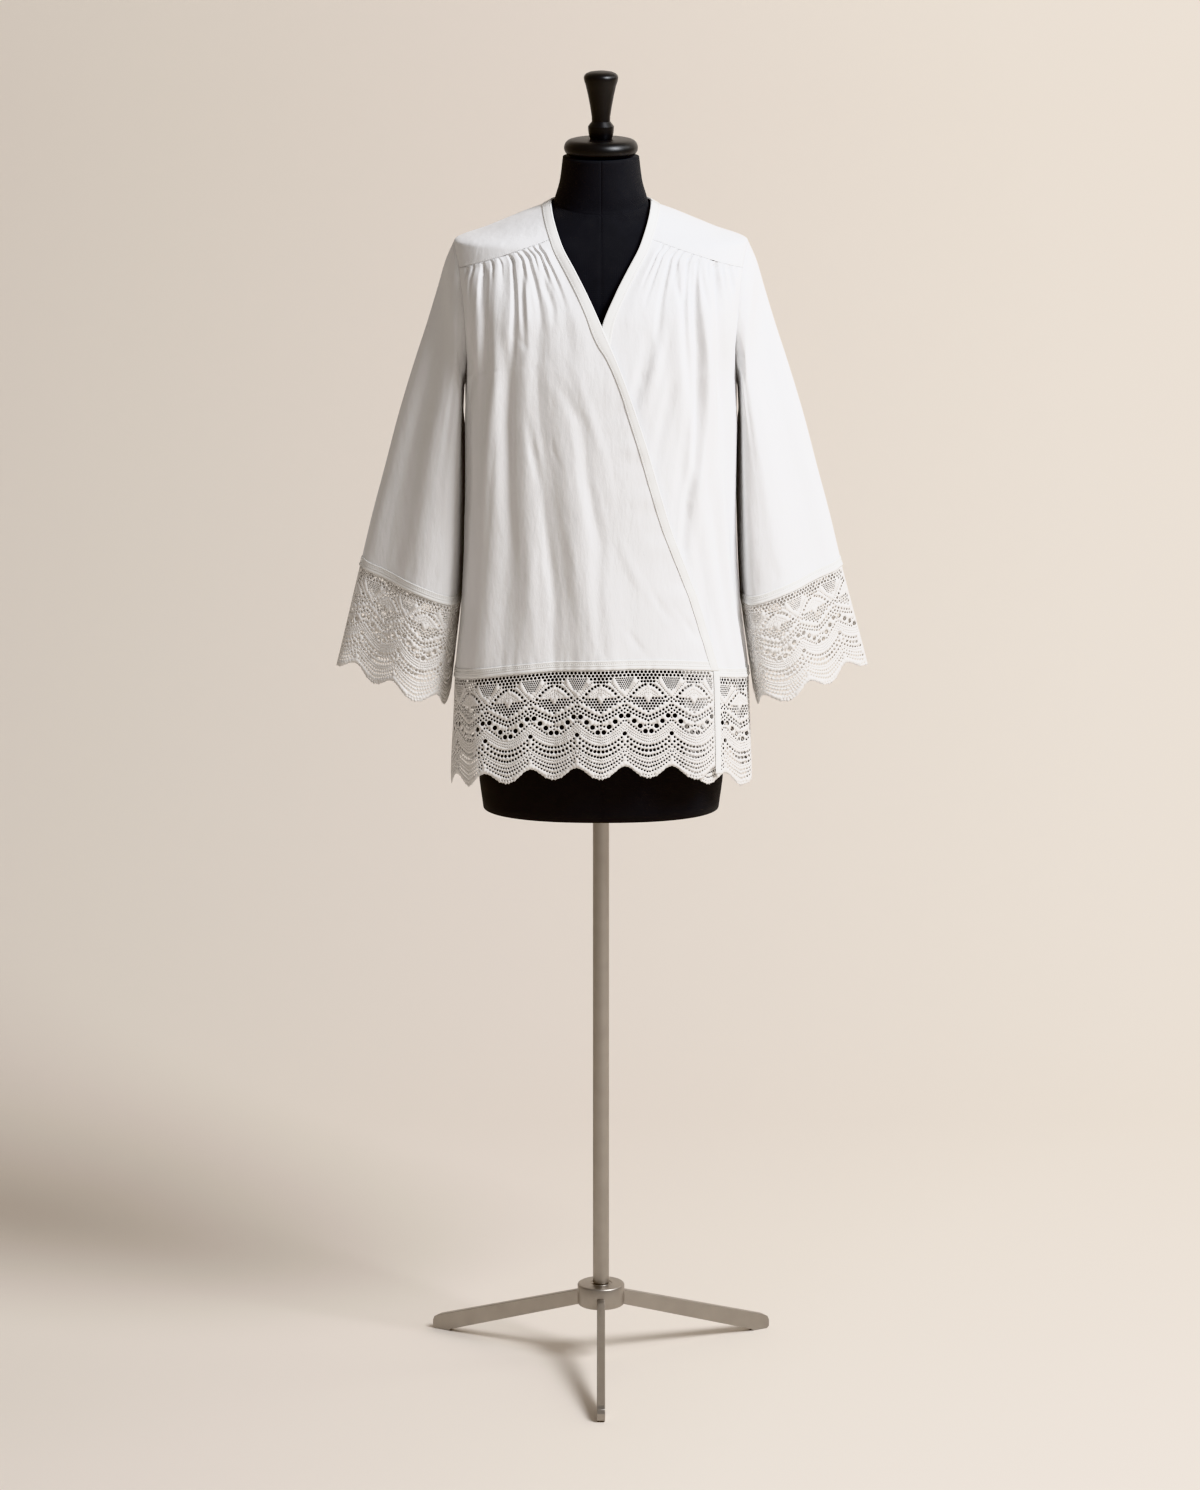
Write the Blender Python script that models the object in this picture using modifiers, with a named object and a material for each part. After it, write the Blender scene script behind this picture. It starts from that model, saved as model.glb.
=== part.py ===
"""A cross-over surplice on a limbless dress form.

The garment is white cotton: a yoke over the shoulders, two fronts that cross, a back,
wide sleeves, and a deep lace edging at the hem and cuffs. It hangs on a black jersey form
on a steel tripod. Metres, +Z up, the wearer faces -Y and the wearer's right is -X.
Every panel is laid out in two coordinates, a bearing round the body and a height, and
on_body() turns them into a point, so that neighbouring pieces share their seams.
"""
import math
from collections import namedtuple

import bmesh
import bpy
import numpy as np
from mathutils import Vector
from mathutils.geometry import delaunay_2d_cdt

NAME = "surplice_on_dress_form"
POLE_Y = 0.0574            # the stand's axis lies behind the centre of the whole object

# --- cloth -------------------------------------------------------------------------------
WALL = 0.0012              # thickness of the cotton and of the lace
BAND_WALL = 0.0010         # thickness of the folded bands and tapes sewn on it
SEAM = 0.0003              # gap between neighbouring pieces
LACE_JOINT = 0.0007        # the same between two laces, whose wide facets turn in at their ends
LAP_LIFT = 0.0050          # how far the outer front lies over the inner one
LAP_FROM = -0.0650         # it starts to rise here, across the front
LAP_FULL = -0.0200
FLAT_EDGE = 0.10           # share of a panel's width over which its folds flatten
PAST_ARMHOLE = 0.40        # share of its height in which its folds pass the armhole

NECK_HALF = 0.0656         # neck point of the shoulder, from the centre
NECK_Z = 1.5960
NECK_BOW = 0.28            # how much the V bows outward as it nears the neck point
SHOULDER_HALF = 0.1930     # shoulder point
SHOULDER_Z = 1.5430
YOKE_CORNER_X = 0.0550     # neck end of the front yoke seam
YOKE_CORNER_Z = 1.5604
YOKE_SEAM_Z = 1.5137       # its armhole end, and the whole back yoke seam
UNDERARM_Z = 1.3660
ARMHOLE_DEPTH = 0.0580     # half the armhole's width from front to back
HEM_SIDE_Z = 0.9620
HEM_FRONT_Z = 0.9890
HEM_BACK_Z = 0.9760
BAND_WIDTH = 0.0130        # front and neck bands
HEADING_SHARE = 0.976      # the stitched hem fold and beaded tape start this far down a panel

# --- lace --------------------------------------------------------------------------------
LACE_DEPTH = 0.1460        # from the heading to a scallop's tip
SCALLOP = 0.0200           # from a tip up to the notch between two scallops
LACE_EDGE = 0.0100         # plain folded edge of the outer front's lace
HOLE_SIDES = 4

# --- form and stand ----------------------------------------------------------------------
FORM_BOTTOM = 0.7800
FORM_TOP = 1.6540
CAP_RADIUS = 0.0485
CAP_BOTTOM = 1.6543
CAP_TOP = 1.6770
FINIAL_TOP = 1.7660
POLE_RADIUS = 0.0110
HUB_RADIUS = 0.0320
HUB_BOTTOM = 0.0780
HUB_TOP = 0.1080
LEG_REACH = 0.2670
LEG_THICK = 0.0110

MM = 0.001
RIGHT, LEFT = 0.0, math.pi                    # bearings of the wearer's sides
BACK_MIDDLE = -math.pi / 2

Section = namedtuple("Section", "z half_width front_depth back_depth squareness")

# The hollow shape of the worn cloth, from the neck down to the tips of the lace.
CLOTH = [
    Section(1.6100, 0.0590, 0.0520, 0.0600, 2.00),
    Section(NECK_Z, NECK_HALF, 0.0600, 0.0660, 2.00),
    Section(1.5800, 0.1040, 0.0720, 0.0770, 2.05),
    Section(1.5600, 0.1520, 0.0840, 0.0880, 2.15),
    Section(SHOULDER_Z, SHOULDER_HALF, 0.0960, 0.0960, 2.25),
    Section(1.5010, 0.1960, 0.1150, 0.1140, 2.35),
    Section(1.4500, 0.1900, 0.1310, 0.1260, 2.45),
    Section(1.3660, 0.1770, 0.1400, 0.1340, 2.50),
    Section(1.2500, 0.1770, 0.1400, 0.1350, 2.45),
    Section(1.1400, 0.1790, 0.1390, 0.1360, 2.40),
    Section(1.0600, 0.1840, 0.1400, 0.1380, 2.40),
    Section(0.9620, 0.1940, 0.1420, 0.1420, 2.40),
    Section(0.8200, 0.1970, 0.1450, 0.1460, 2.40),
    Section(0.7600, 0.1975, 0.1455, 0.1465, 2.40),
]

# The dress form under it: it carries the yoke on its shoulders and is slimmer below them.
FORM = [
    Section(FORM_TOP, 0.0500, 0.0500, 0.0500, 2.00),
    Section(1.6230, 0.0540, 0.0520, 0.0540, 2.00),
    Section(1.6050, 0.0590, 0.0545, 0.0600, 2.00),
    Section(1.5904, 0.0645, 0.0570, 0.0652, 2.00),
    Section(1.5746, 0.1024, 0.0684, 0.0744, 2.03),
    Section(1.5554, 0.1478, 0.0796, 0.0838, 2.10),
    Section(1.5412, 0.1795, 0.0898, 0.0898, 2.18),
    Section(1.5200, 0.1860, 0.1000, 0.0980, 2.20),
    Section(1.4900, 0.1840, 0.1100, 0.1080, 2.25),
    Section(1.4500, 0.1740, 0.1180, 0.1130, 2.30),
    Section(1.3900, 0.1600, 0.1230, 0.1120, 2.35),
    Section(1.3100, 0.1480, 0.1150, 0.1040, 2.30),
    Section(1.1800, 0.1290, 0.0960, 0.0900, 2.25),
    Section(1.0600, 0.1480, 0.1050, 0.1080, 2.30),
    Section(0.9400, 0.1680, 0.1130, 0.1230, 2.35),
    Section(0.8300, 0.1640, 0.1080, 0.1180, 2.35),
    Section(FORM_BOTTOM, 0.1580, 0.1030, 0.1120, 2.35),
]

GATHERS_FRONT = 11         # gathers under the yoke on each front
GATHERS_BACK = 18
RIDGE = 0.15               # share of the yoke's length where it crosses the shoulder's ridge
BACK_CORNER = 0.30         # and where its armhole meets its back seam
OVER_STEPS = 4             # steps of its mesh from the front seam to the ridge
BACK_STEPS = 6             # and from its armhole to the middle of the back
YOKE_ROWS = (0.28, 0.48, 0.66, 0.83, 1.0)     # shares of the way from the neck, past the band
SLEEVE_STEPS = 22          # steps of the mesh round a sleeve
FORM_STEPS = 20            # and round the form

EdgePoint = namedtuple("EdgePoint", "z x")

# Free edge of the outer front: the V neck, then the long slant across to the other side.
OUTER_EDGE = [
    EdgePoint(YOKE_CORNER_Z, -YOKE_CORNER_X), EdgePoint(1.5470, -0.0495),
    EdgePoint(1.5194, -0.0339), EdgePoint(1.4917, -0.0191),
    EdgePoint(1.4460, 0.0026), EdgePoint(1.3873, 0.0273), EdgePoint(1.3028, 0.0559),
    EdgePoint(1.1860, 0.0890), EdgePoint(1.0842, 0.1245), EdgePoint(0.9860, 0.1520),
]
# Free edge of the inner front: the same V, then hidden, falling back to the side.
INNER_EDGE = [
    EdgePoint(YOKE_CORNER_Z, YOKE_CORNER_X), EdgePoint(1.5470, 0.0495),
    EdgePoint(1.5194, 0.0339), EdgePoint(1.4917, 0.0191),
    EdgePoint(1.4460, 0.0000), EdgePoint(1.3950, -0.0080), EdgePoint(1.3200, 0.0020),
    EdgePoint(1.2200, 0.0300), EdgePoint(1.1000, 0.0680), EdgePoint(0.9880, 0.1080),
]

Fold = namedtuple("Fold", "at_yoke at_hem width depth_chest depth_hem")

# Soft folds below the gathers: places and widths are shares of the panel's width.
OUTER_FOLDS = [
    Fold(0.12, 0.07, 0.07, 0.0035, 0.0040),
    Fold(0.28, 0.16, 0.08, 0.0060, 0.0070),
    Fold(0.46, 0.27, 0.08, 0.0065, 0.0060),
    Fold(0.62, 0.45, 0.10, 0.0030, 0.0040),
    Fold(0.80, 0.66, 0.12, 0.0020, 0.0045),
]
INNER_FOLDS = [
    Fold(0.16, 0.14, 0.11, 0.0030, 0.0035),
    Fold(0.38, 0.33, 0.12, 0.0060, 0.0060),
    Fold(0.60, 0.50, 0.11, 0.0050, 0.0030),
]
BACK_FOLDS = [
    Fold(0.12, 0.12, 0.06, 0.0035, 0.0045),
    Fold(0.27, 0.26, 0.07, 0.0060, 0.0080),
    Fold(0.42, 0.41, 0.06, 0.0050, 0.0070),
    Fold(0.57, 0.58, 0.07, 0.0060, 0.0080),
    Fold(0.73, 0.74, 0.07, 0.0055, 0.0075),
    Fold(0.88, 0.88, 0.06, 0.0035, 0.0045),
]

# Rows of a panel: its share of the way down, and the depth of the gathers there.
Row = namedtuple("Row", "down gather columns_share")
PANEL_ROWS = [
    Row(0.000, 0.0000, 1), Row(0.030, 0.0042, 1), Row(0.090, 0.0034, 1), Row(0.160, 0.0010, 2),
    Row(0.2673, 0.0000, 2), Row(0.390, 0.0000, 2), Row(0.540, 0.0000, 2), Row(0.690, 0.0000, 2),
    Row(0.840, 0.0000, 2), Row(HEADING_SHARE, 0.0000, 2), Row(1.000, 0.0000, 2),
]

SleeveRing = namedtuple("SleeveRing", "outer_x outer_z inner_x inner_z half_depth")
SLEEVE = [
    SleeveRing(SHOULDER_HALF, SHOULDER_Z, 0.1770, UNDERARM_Z, ARMHOLE_DEPTH),
    SleeveRing(0.2040, 1.5180, 0.1800, 1.3500, 0.0600),
    SleeveRing(0.2150, 1.4810, 0.1815, 1.3250, 0.0620),
    SleeveRing(0.2290, 1.4350, 0.1830, 1.2930, 0.0630),
    SleeveRing(0.2480, 1.3770, 0.1838, 1.2500, 0.0640),
    SleeveRing(0.2680, 1.3110, 0.1846, 1.2040, 0.0650),
    SleeveRing(0.2860, 1.2430, 0.1858, 1.1560, 0.0655),
    SleeveRing(0.3040, 1.1760, 0.1874, 1.1090, 0.0660),
    SleeveRing(0.3176, 1.1195, 0.1895, 1.0735, 0.0660),
    SleeveRing(0.3205, 1.1070, 0.1905, 1.0610, 0.0660),
]
SleeveFold = namedtuple("SleeveFold", "bearing width depth")   # degrees round the sleeve
SLEEVE_FOLDS = [
    SleeveFold(38, 24, 0.0035), SleeveFold(95, 26, 0.0040), SleeveFold(145, 20, 0.0030),
    SleeveFold(232, 26, 0.0040), SleeveFold(300, 26, 0.0035),
]
CUFF_LACE_OUTER = Vector((0.0340, 0.0, -0.1340))   # run of the cuff lace at its outer side
CUFF_LACE_INNER = Vector((0.0170, 0.0, -0.1360))
CUFF_LACE_FLARE = 0.0060

LaceHole = namedtuple("LaceHole", "across down radius")   # millimetres, from a scallop's tip line
LACE_HOLES = [
    LaceHole(3.9, 81.5, 2.9), LaceHole(10.7, 73.5, 2.9), LaceHole(18.4, 67.0, 2.8),
    LaceHole(26.4, 60.0, 2.9),
]
CUSP_HOLE = LaceHole(31.0, 84.5, 2.9)
LACE_HALF_REPEAT = 31.0
Scallop = namedtuple("Scallop", "share rise")      # share of half a repeat, rise from the tip
SCALLOP_EDGE = [Scallop(0.34, 0.18), Scallop(0.74, 0.80)]
LACE_STAY_ROWS = (45.0, 102.0)                     # depths where a joint between halves has a point


# --- scene, collections and materials ------------------------------------------------------
def clear_scene():
    for thing in list(bpy.data.objects):
        bpy.data.objects.remove(thing, do_unlink=True)


def new_collection(name):
    collection = bpy.data.collections.new(name)
    bpy.context.scene.collection.children.link(collection)
    return collection


def finish(name, colour, roughness, metallic=0.0):
    material = bpy.data.materials.new(name)
    material.use_nodes = True
    shader = material.node_tree.nodes["Principled BSDF"]
    shader.inputs["Base Color"].default_value = (*colour, 1.0)
    shader.inputs["Roughness"].default_value = roughness
    shader.inputs["Metallic"].default_value = metallic
    material.diffuse_color = (*colour, 1.0)
    return material


def add_object(name, mesh, material):
    piece = bpy.data.objects.new(name, mesh)
    piece.data.materials.clear()
    piece.data.materials.append(material)
    PARTS.objects.link(piece)
    piece.parent = STAND_AXIS
    return piece


# --- the body the cloth hangs on ------------------------------------------------------------
def between(table, z):
    """Section at height z, by smooth curves through the table's rows."""
    rows = sorted(table, key=lambda row: row.z)
    heights = np.array([row.z for row in rows])
    values = np.array([row[1:] for row in rows])
    z = min(max(z, heights[0]), heights[-1])
    i = int(np.clip(np.searchsorted(heights, z) - 1, 0, len(rows) - 2))
    step = np.diff(heights)
    slope = np.diff(values, axis=0) / step[:, None]

    def tangent(k):
        if k == 0 or k == len(rows) - 1:
            return slope[min(k, len(rows) - 2)]
        low, high = slope[k - 1], slope[k]
        same_way = low * high > 0
        mean = 2 * low * high / np.where(same_way, low + high, 1.0)
        return np.where(same_way, mean, 0.0)

    h = step[i]
    t = (z - heights[i]) / h
    return ((2 * t**3 - 3 * t**2 + 1) * values[i] + (t**3 - 2 * t**2 + t) * h * tangent(i)
            + (3 * t**2 - 2 * t**3) * values[i + 1] + (t**3 - t**2) * h * tangent(i + 1))


def round_body(table, bearing, z):
    """Point on the section at height z. Bearing 0 is -X, 90 degrees is the front, -Y."""
    half_width, front_depth, back_depth, squareness = between(table, z)
    power = 2.0 / squareness
    c, s = math.cos(bearing), math.sin(bearing)
    depth = front_depth if s > 0 else back_depth
    x = -half_width * math.copysign(abs(c) ** power, c)
    y = -depth * math.copysign(abs(s) ** power, s)
    return Vector((x, y, z))


def normal_of_body(bearing, z):
    near, step_z = 0.02, 0.002
    along = round_body(CLOTH, bearing + near, z) - round_body(CLOTH, bearing - near, z)
    up = round_body(CLOTH, bearing, z + step_z) - round_body(CLOTH, bearing, z - step_z)
    return along.cross(up).normalized()


def on_body(place, out=0.0):
    """Point of the cloth's outer face at place = (bearing, z), moved out by out."""
    bearing, z = place
    return round_body(CLOTH, bearing, z) + normal_of_body(bearing, z) * out


def bearing_at_x(x, z):
    """Bearing on the front of the body where its width reaches x."""
    half_width, _, _, squareness = between(CLOTH, z)
    share = min(abs(x) / half_width, 1.0)
    angle = math.acos(share ** (squareness / 2))
    return angle if x < 0 else math.pi - angle


def bearing_at_y(y, z, side):
    """Bearing near the wearer's right (side -1) or left (+1) where the depth reaches y."""
    _, front_depth, back_depth, squareness = between(CLOTH, z)
    depth = front_depth if y < 0 else back_depth
    angle = math.asin(min(abs(y) / depth, 1.0) ** (squareness / 2))
    angle = angle if y < 0 else -angle
    return angle if side < 0 else math.pi - angle


def armhole_y(z):
    """Half the armhole's width at height z."""
    middle = (SHOULDER_Z + UNDERARM_Z) / 2
    share = (z - middle) / ((SHOULDER_Z - UNDERARM_Z) / 2)
    return ARMHOLE_DEPTH * math.sqrt(max(1 - share * share, 0.0))


def hem_z(bearing):
    """The hem rises from the side seams to the middle of the front and of the back."""
    middle = HEM_FRONT_Z if math.sin(bearing) > 0 else HEM_BACK_Z
    return HEM_SIDE_Z + (middle - HEM_SIDE_Z) * math.sin(bearing) ** 2


# --- edges of the panels, each a function from 0..1 to (bearing, z) ---------------------------
def side_edge(side, way):
    """Armhole, then side seam. way is -1 on the front's side of it and +1 on the back's."""
    def place(share):
        z = YOKE_SEAM_Z + (HEM_SIDE_Z - YOKE_SEAM_Z) * share
        reach = armhole_y(z) if z > UNDERARM_Z else 0.0
        return np.array([bearing_at_y(way * max(reach, SEAM), z, side), z])
    return place


def free_edge(table):
    def place(share):
        z = table[0].z + (table[-1].z - table[0].z) * share
        heights = [row.z for row in reversed(table)]
        x = float(np.interp(z, heights, [row.x for row in reversed(table)]))
        return np.array([bearing_at_x(x, z), z])
    return place


def yoke_seam(side, drop):
    """Front yoke seam from the armhole to the neck, straight as seen from the front."""
    arm_x = abs(round_body(CLOTH, bearing_at_y(-armhole_y(YOKE_SEAM_Z), YOKE_SEAM_Z, -1),
                           YOKE_SEAM_Z).x)

    def place(share):
        x = arm_x + (YOKE_CORNER_X - arm_x) * share
        z = YOKE_SEAM_Z + (YOKE_CORNER_Z - YOKE_SEAM_Z) * share - drop
        return np.array([bearing_at_x(side * x, z), z])
    return place


def even_hem(start, end):
    """Hem from one bearing to another, in even steps of length."""
    bearings = np.linspace(start, end, 241)
    points = [round_body(CLOTH, b, hem_z(b)) for b in bearings]
    lengths = np.cumsum([0.0] + [(q - p).length for p, q in zip(points, points[1:])])

    def place(share):
        b = float(np.interp(share * lengths[-1], lengths, bearings))
        return np.array([b, hem_z(b)])
    place.length = float(lengths[-1])
    return place


def patch(top, bottom, left, right):
    """Blend of four edges, which meet at the corners."""
    corners = top(0.0), top(1.0), bottom(0.0), bottom(1.0)

    def place(s, t):
        ruled = (1 - t) * top(s) + t * bottom(s) + (1 - s) * left(t) + s * right(t)
        shared = ((1 - s) * (1 - t) * corners[0] + s * (1 - t) * corners[1]
                  + (1 - s) * t * corners[2] + s * t * corners[3])
        return ruled - shared
    return place


# --- folds --------------------------------------------------------------------------------
def ease(x):
    x = min(max(x, 0.0), 1.0)
    return x * x * (3 - 2 * x)


def fold_out(folds, s, t):
    """How far the soft folds stand out at share s across and t down."""
    out = 0.0
    for fold in folds:
        centre = fold.at_yoke + (fold.at_hem - fold.at_yoke) * t
        depth = fold.depth_chest + (fold.depth_hem - fold.depth_chest) * t
        out += depth * ease(t / 0.2) * ease(1 - abs(s - centre) / fold.width)
    return out


def share_past_armhole(place, share, down, body, bands):
    """Share at which a fold lies, as if the armhole ran smoothly into the side seam."""
    run = ease(down / PAST_ARMHOLE)
    left, right = place(0.0, down)[0], place(1.0, down)[0]
    left_top, left_hem = place(0.0, 0.0)[0], place(0.0, 1.0)[0]
    smooth_left = left_top + (left_hem - left_top) * run
    if bands:
        right = smooth_right = left + body * (right - left)
    else:
        right_top, right_hem = place(1.0, 0.0)[0], place(1.0, 1.0)[0]
        smooth_right = right_top + (right_hem - right_top) * run
    return (left + share * (right - left) - smooth_left) / (smooth_right - smooth_left)


def fade_at_edges(share):
    """Folds flatten near a panel's sides, where it is sewn or banded."""
    return ease(share / FLAT_EDGE) * ease((1 - share) / FLAT_EDGE)


def lap_lift(place):
    """The outer front rises over the inner one before it crosses it."""
    x = round_body(CLOTH, place[0], place[1]).x
    return LAP_LIFT * ease((x - LAP_FROM) / (LAP_FULL - LAP_FROM))


# --- meshes from rows of points -------------------------------------------------------------
def mesh_of_rows(name, rows, closed=False):
    """Skin between rows of points. A row may have half as many steps as the one above it."""
    form = bmesh.new()
    lines = [[form.verts.new(point) for point in row] for row in rows]
    for upper, lower in zip(lines, lines[1:]):
        if closed:
            upper, lower = upper + upper[:1], lower + lower[:1]
        if len(upper) == len(lower):
            for i in range(len(upper) - 1):
                form.faces.new((upper[i], lower[i], lower[i + 1], upper[i + 1]))
            continue
        paired = 2 * (len(upper) // 2 - (len(upper) + 1) % 2)
        for i in range(0, paired, 2):
            a, b, c = upper[i], upper[i + 1], upper[i + 2]
            d, e = lower[i // 2], lower[i // 2 + 1]
            form.faces.new((a, d, b))
            form.faces.new((b, d, e))
            form.faces.new((b, e, c))
        if len(upper) > paired + 1:
            form.faces.new((upper[paired], lower[paired // 2],
                            lower[paired // 2 + 1], upper[paired + 1]))
    bmesh.ops.triangulate(form, faces=form.faces[:])
    mesh = bpy.data.meshes.new(name)
    form.to_mesh(mesh)
    form.free()
    return mesh


def inside_body(point):
    """A place inside the worn garment, level with the given point or a little below it."""
    return Vector((0.0, 0.0, min(point.z, 1.45) - 0.05))


def inside_sleeve(side):
    """Function to a place inside the sleeve of that side, level with a point of its wall."""
    heights = [(ring.outer_z + ring.inner_z) / 2 for ring in reversed(SLEEVE)]
    middles = [(ring.outer_x + ring.inner_x) / 2 for ring in reversed(SLEEVE)]

    def place(point):
        return Vector((side * float(np.interp(point.z, heights, middles)), 0.0, point.z))
    return place


def turn_outward(mesh, inside):
    outward = sum(face.normal.dot(face.center - inside(face.center)) for face in mesh.polygons)
    if outward < 0:
        mesh.flip_normals()


def add_wall(name, mesh, material, inside, thickness=WALL, out=False, lift=0.0):
    """Thick wall on an open surface: inward, or outward for what lies on a panel."""
    mesh.update()
    turn_outward(mesh, inside)
    piece = add_object(name, mesh, material)
    if lift:
        raise_it = piece.modifiers.new("clear of the panel", "DISPLACE")
        raise_it.mid_level = 0.0
        raise_it.strength = lift
    wall = piece.modifiers.new("wall", "SOLIDIFY")
    wall.thickness = thickness
    wall.offset = 1.0 if out else -1.0
    return piece


def add_turned(name, profile, material, steps):
    """Turned piece: profile points (radius, z) run down its outer side."""
    mesh = bpy.data.meshes.new(name)
    points = [(radius, 0.0, z) for radius, z in profile]
    mesh.from_pydata(points, [(i, i + 1) for i in range(len(points) - 1)], [])
    piece = add_object(name, mesh, material)
    turn = piece.modifiers.new("turn", "SCREW")
    turn.steps = steps
    turn.render_steps = steps
    turn.use_merge_vertices = True
    turn.merge_threshold = 0.00005
    return piece


# --- panels ---------------------------------------------------------------------------------
def share_beside_band(place, down):
    """Share of a panel's width, that far down it, where its front band begins."""
    near = place(0.9, down), place(1.0, down)
    tenth = (round_body(CLOTH, *near[1]) - round_body(CLOTH, *near[0])).length
    return 1.0 - 0.1 * BAND_WIDTH / tenth


def build_panel(name, place, lift, folds, gathers, bands):
    """A gathered panel. bands says whether its free edge carries a front band.

    Returns the rows of its outer points, from which the bands and headings are made.
    """
    rows = []
    for row in PANEL_ROWS:
        body = share_beside_band(place, row.down) if bands else 1.0
        steps = 4 * gathers // row.columns_share
        points = []
        for i in range(steps + 1):
            share = i / steps
            at = place(share * body, row.down)
            edge_fade = fade_at_edges(share)
            wave = 0.5 - 0.5 * math.cos(2 * math.pi * gathers * share)
            on_fold = share_past_armhole(place, share, row.down, body, bands)
            out = edge_fade * (row.gather * wave + fold_out(folds, on_fold, row.down))
            points.append(on_body(at, out + lift(at)))
        if bands:
            at = place(1.0, row.down)
            points.append(on_body(at, lift(at)))
        rows.append(points)
    add_wall(name, mesh_of_rows(name, rows), COTTON, inside_body)
    return rows


def hem_profile(place, lift, folds, length, bands):
    """Function from a length along the hem and a depth below it to a point of the lace."""
    body = share_beside_band(place, 1.0) if bands else 1.0

    def point(along, down):
        whole = min(max(along / length, 0.0), 1.0)
        bearing, z = place(whole, 1.0)
        share = min(whole / body, 1.0)
        out = fade_at_edges(share) * fold_out(folds, share, 1.0) + lift((bearing, z))
        return on_body((bearing, z - down), out)
    return point


# --- lace ---------------------------------------------------------------------------------------
def hole_outline(hole):
    turn = 2 * math.pi / HOLE_SIDES
    return [(hole.across + hole.radius * math.sin(i * turn),
             hole.down + hole.radius * math.cos(i * turn)) for i in range(HOLE_SIDES)]


def scallop_bottom(across_share):
    shares = [0.0] + [row.share for row in SCALLOP_EDGE] + [1.0]
    rises = [0.0] + [row.rise for row in SCALLOP_EDGE] + [1.0]
    rise = float(np.interp(across_share, shares, rises))
    return (LACE_DEPTH - SCALLOP * rise) / MM


def lace_faces(halves, from_cusp):
    """Flat lace of so many half repeats, in millimetres: points and the triangles between them.

    It starts in the middle of a scallop, or at the cusp between two.
    """
    points, edges, holes = [], [], []

    def starts_at_tip(half):
        return (half % 2 == 0) != from_cusp

    def add_loop(loop):
        first = len(points)
        points.extend(loop)
        edges.extend((first + i, first + (i + 1) % len(loop)) for i in range(len(loop)))

    outline = [(k * LACE_HALF_REPEAT, 0.0) for k in range(halves)]
    outline.append((halves * LACE_HALF_REPEAT, 0.0))
    outline.extend((halves * LACE_HALF_REPEAT, down) for down in LACE_STAY_ROWS)
    for half in reversed(range(halves)):
        start = half * LACE_HALF_REPEAT
        from_tip = starts_at_tip(half)
        shares = [1.0] + [row.share if from_tip else 1 - row.share
                          for row in (reversed(SCALLOP_EDGE) if from_tip else SCALLOP_EDGE)]
        for share in shares:
            tip_share = share if from_tip else 1 - share
            outline.append((start + share * LACE_HALF_REPEAT, scallop_bottom(tip_share)))
    outline.append((0.0, scallop_bottom(1.0 if from_cusp else 0.0)))
    outline.extend((0.0, down) for down in reversed(LACE_STAY_ROWS))
    add_loop(outline)
    for half in range(halves):
        tip = (half if starts_at_tip(half) else half + 1) * LACE_HALF_REPEAT
        way = 1 if starts_at_tip(half) else -1
        for hole in LACE_HOLES:
            holes.append(LaceHole(tip + way * hole.across, hole.down, hole.radius))
        if starts_at_tip(half) and half + 1 < halves:
            holes.append(LaceHole(tip + CUSP_HOLE.across, CUSP_HOLE.down, CUSP_HOLE.radius))
        if half:
            for down in LACE_STAY_ROWS:
                points.append((half * LACE_HALF_REPEAT, down))
    for hole in holes:
        add_loop(hole_outline(hole))
    flat = [Vector(point) for point in points]
    found = delaunay_2d_cdt(flat, edges, [], 1, 1e-5)
    triangles = []
    for face in found[2]:
        middle = sum((found[0][i] for i in face), Vector((0.0, 0.0))) / len(face)
        gaps = ((middle - Vector((hole.across, hole.down))).length for hole in holes)
        if all(gap > 0.6 * LACE_HOLES[0].radius for gap in gaps):
            triangles.append(face)
    return found[0], triangles


def build_lace(name, point_at, length, halves, inside, start=SEAM, from_cusp=False):
    """Lace strip of the given length: point_at(along, down) is its place on the garment."""
    points, triangles = lace_faces(halves, from_cusp)
    stretch = (length - LACE_JOINT) / (halves * LACE_HALF_REPEAT)
    placed = [point_at(LACE_JOINT / 2 + p.x * stretch, start + p.y * MM) for p in points]
    mesh = bpy.data.meshes.new(name)
    mesh.from_pydata(placed, [], [tuple(face) for face in triangles])
    add_wall(name, mesh, LACE, inside)


# --- sleeves --------------------------------------------------------------------------------------
def sleeve_point(ring, number, turn, side):
    """Point of a sleeve's ring. Turn 0 is its outer side and 90 degrees its front."""
    outer = Vector((ring.outer_x, 0.0, ring.outer_z))
    inner = Vector((ring.inner_x, 0.0, ring.inner_z))
    point = (outer + inner) / 2 + (outer - inner) / 2 * math.cos(turn)
    point.y = -ring.half_depth * math.sin(turn)
    if number == 0:
        on_panel = round_body(CLOTH, bearing_at_y(point.y, point.z, 1), point.z)
        point.x = on_panel.x + SEAM * 2 + (WALL + SEAM) * max(math.cos(turn), 0.0)
    grown = ease((number - 1) / 3)
    out = 0.0
    for fold in SLEEVE_FOLDS:
        away = abs((math.degrees(turn) - fold.bearing + 180) % 360 - 180)
        out += grown * fold.depth * ease(1 - away / fold.width)
    centre = (outer + inner) / 2
    away_from_middle = Vector((point.x - centre.x, point.y, 0.0)).normalized()
    point += away_from_middle * out
    point.x *= side
    return point


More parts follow.
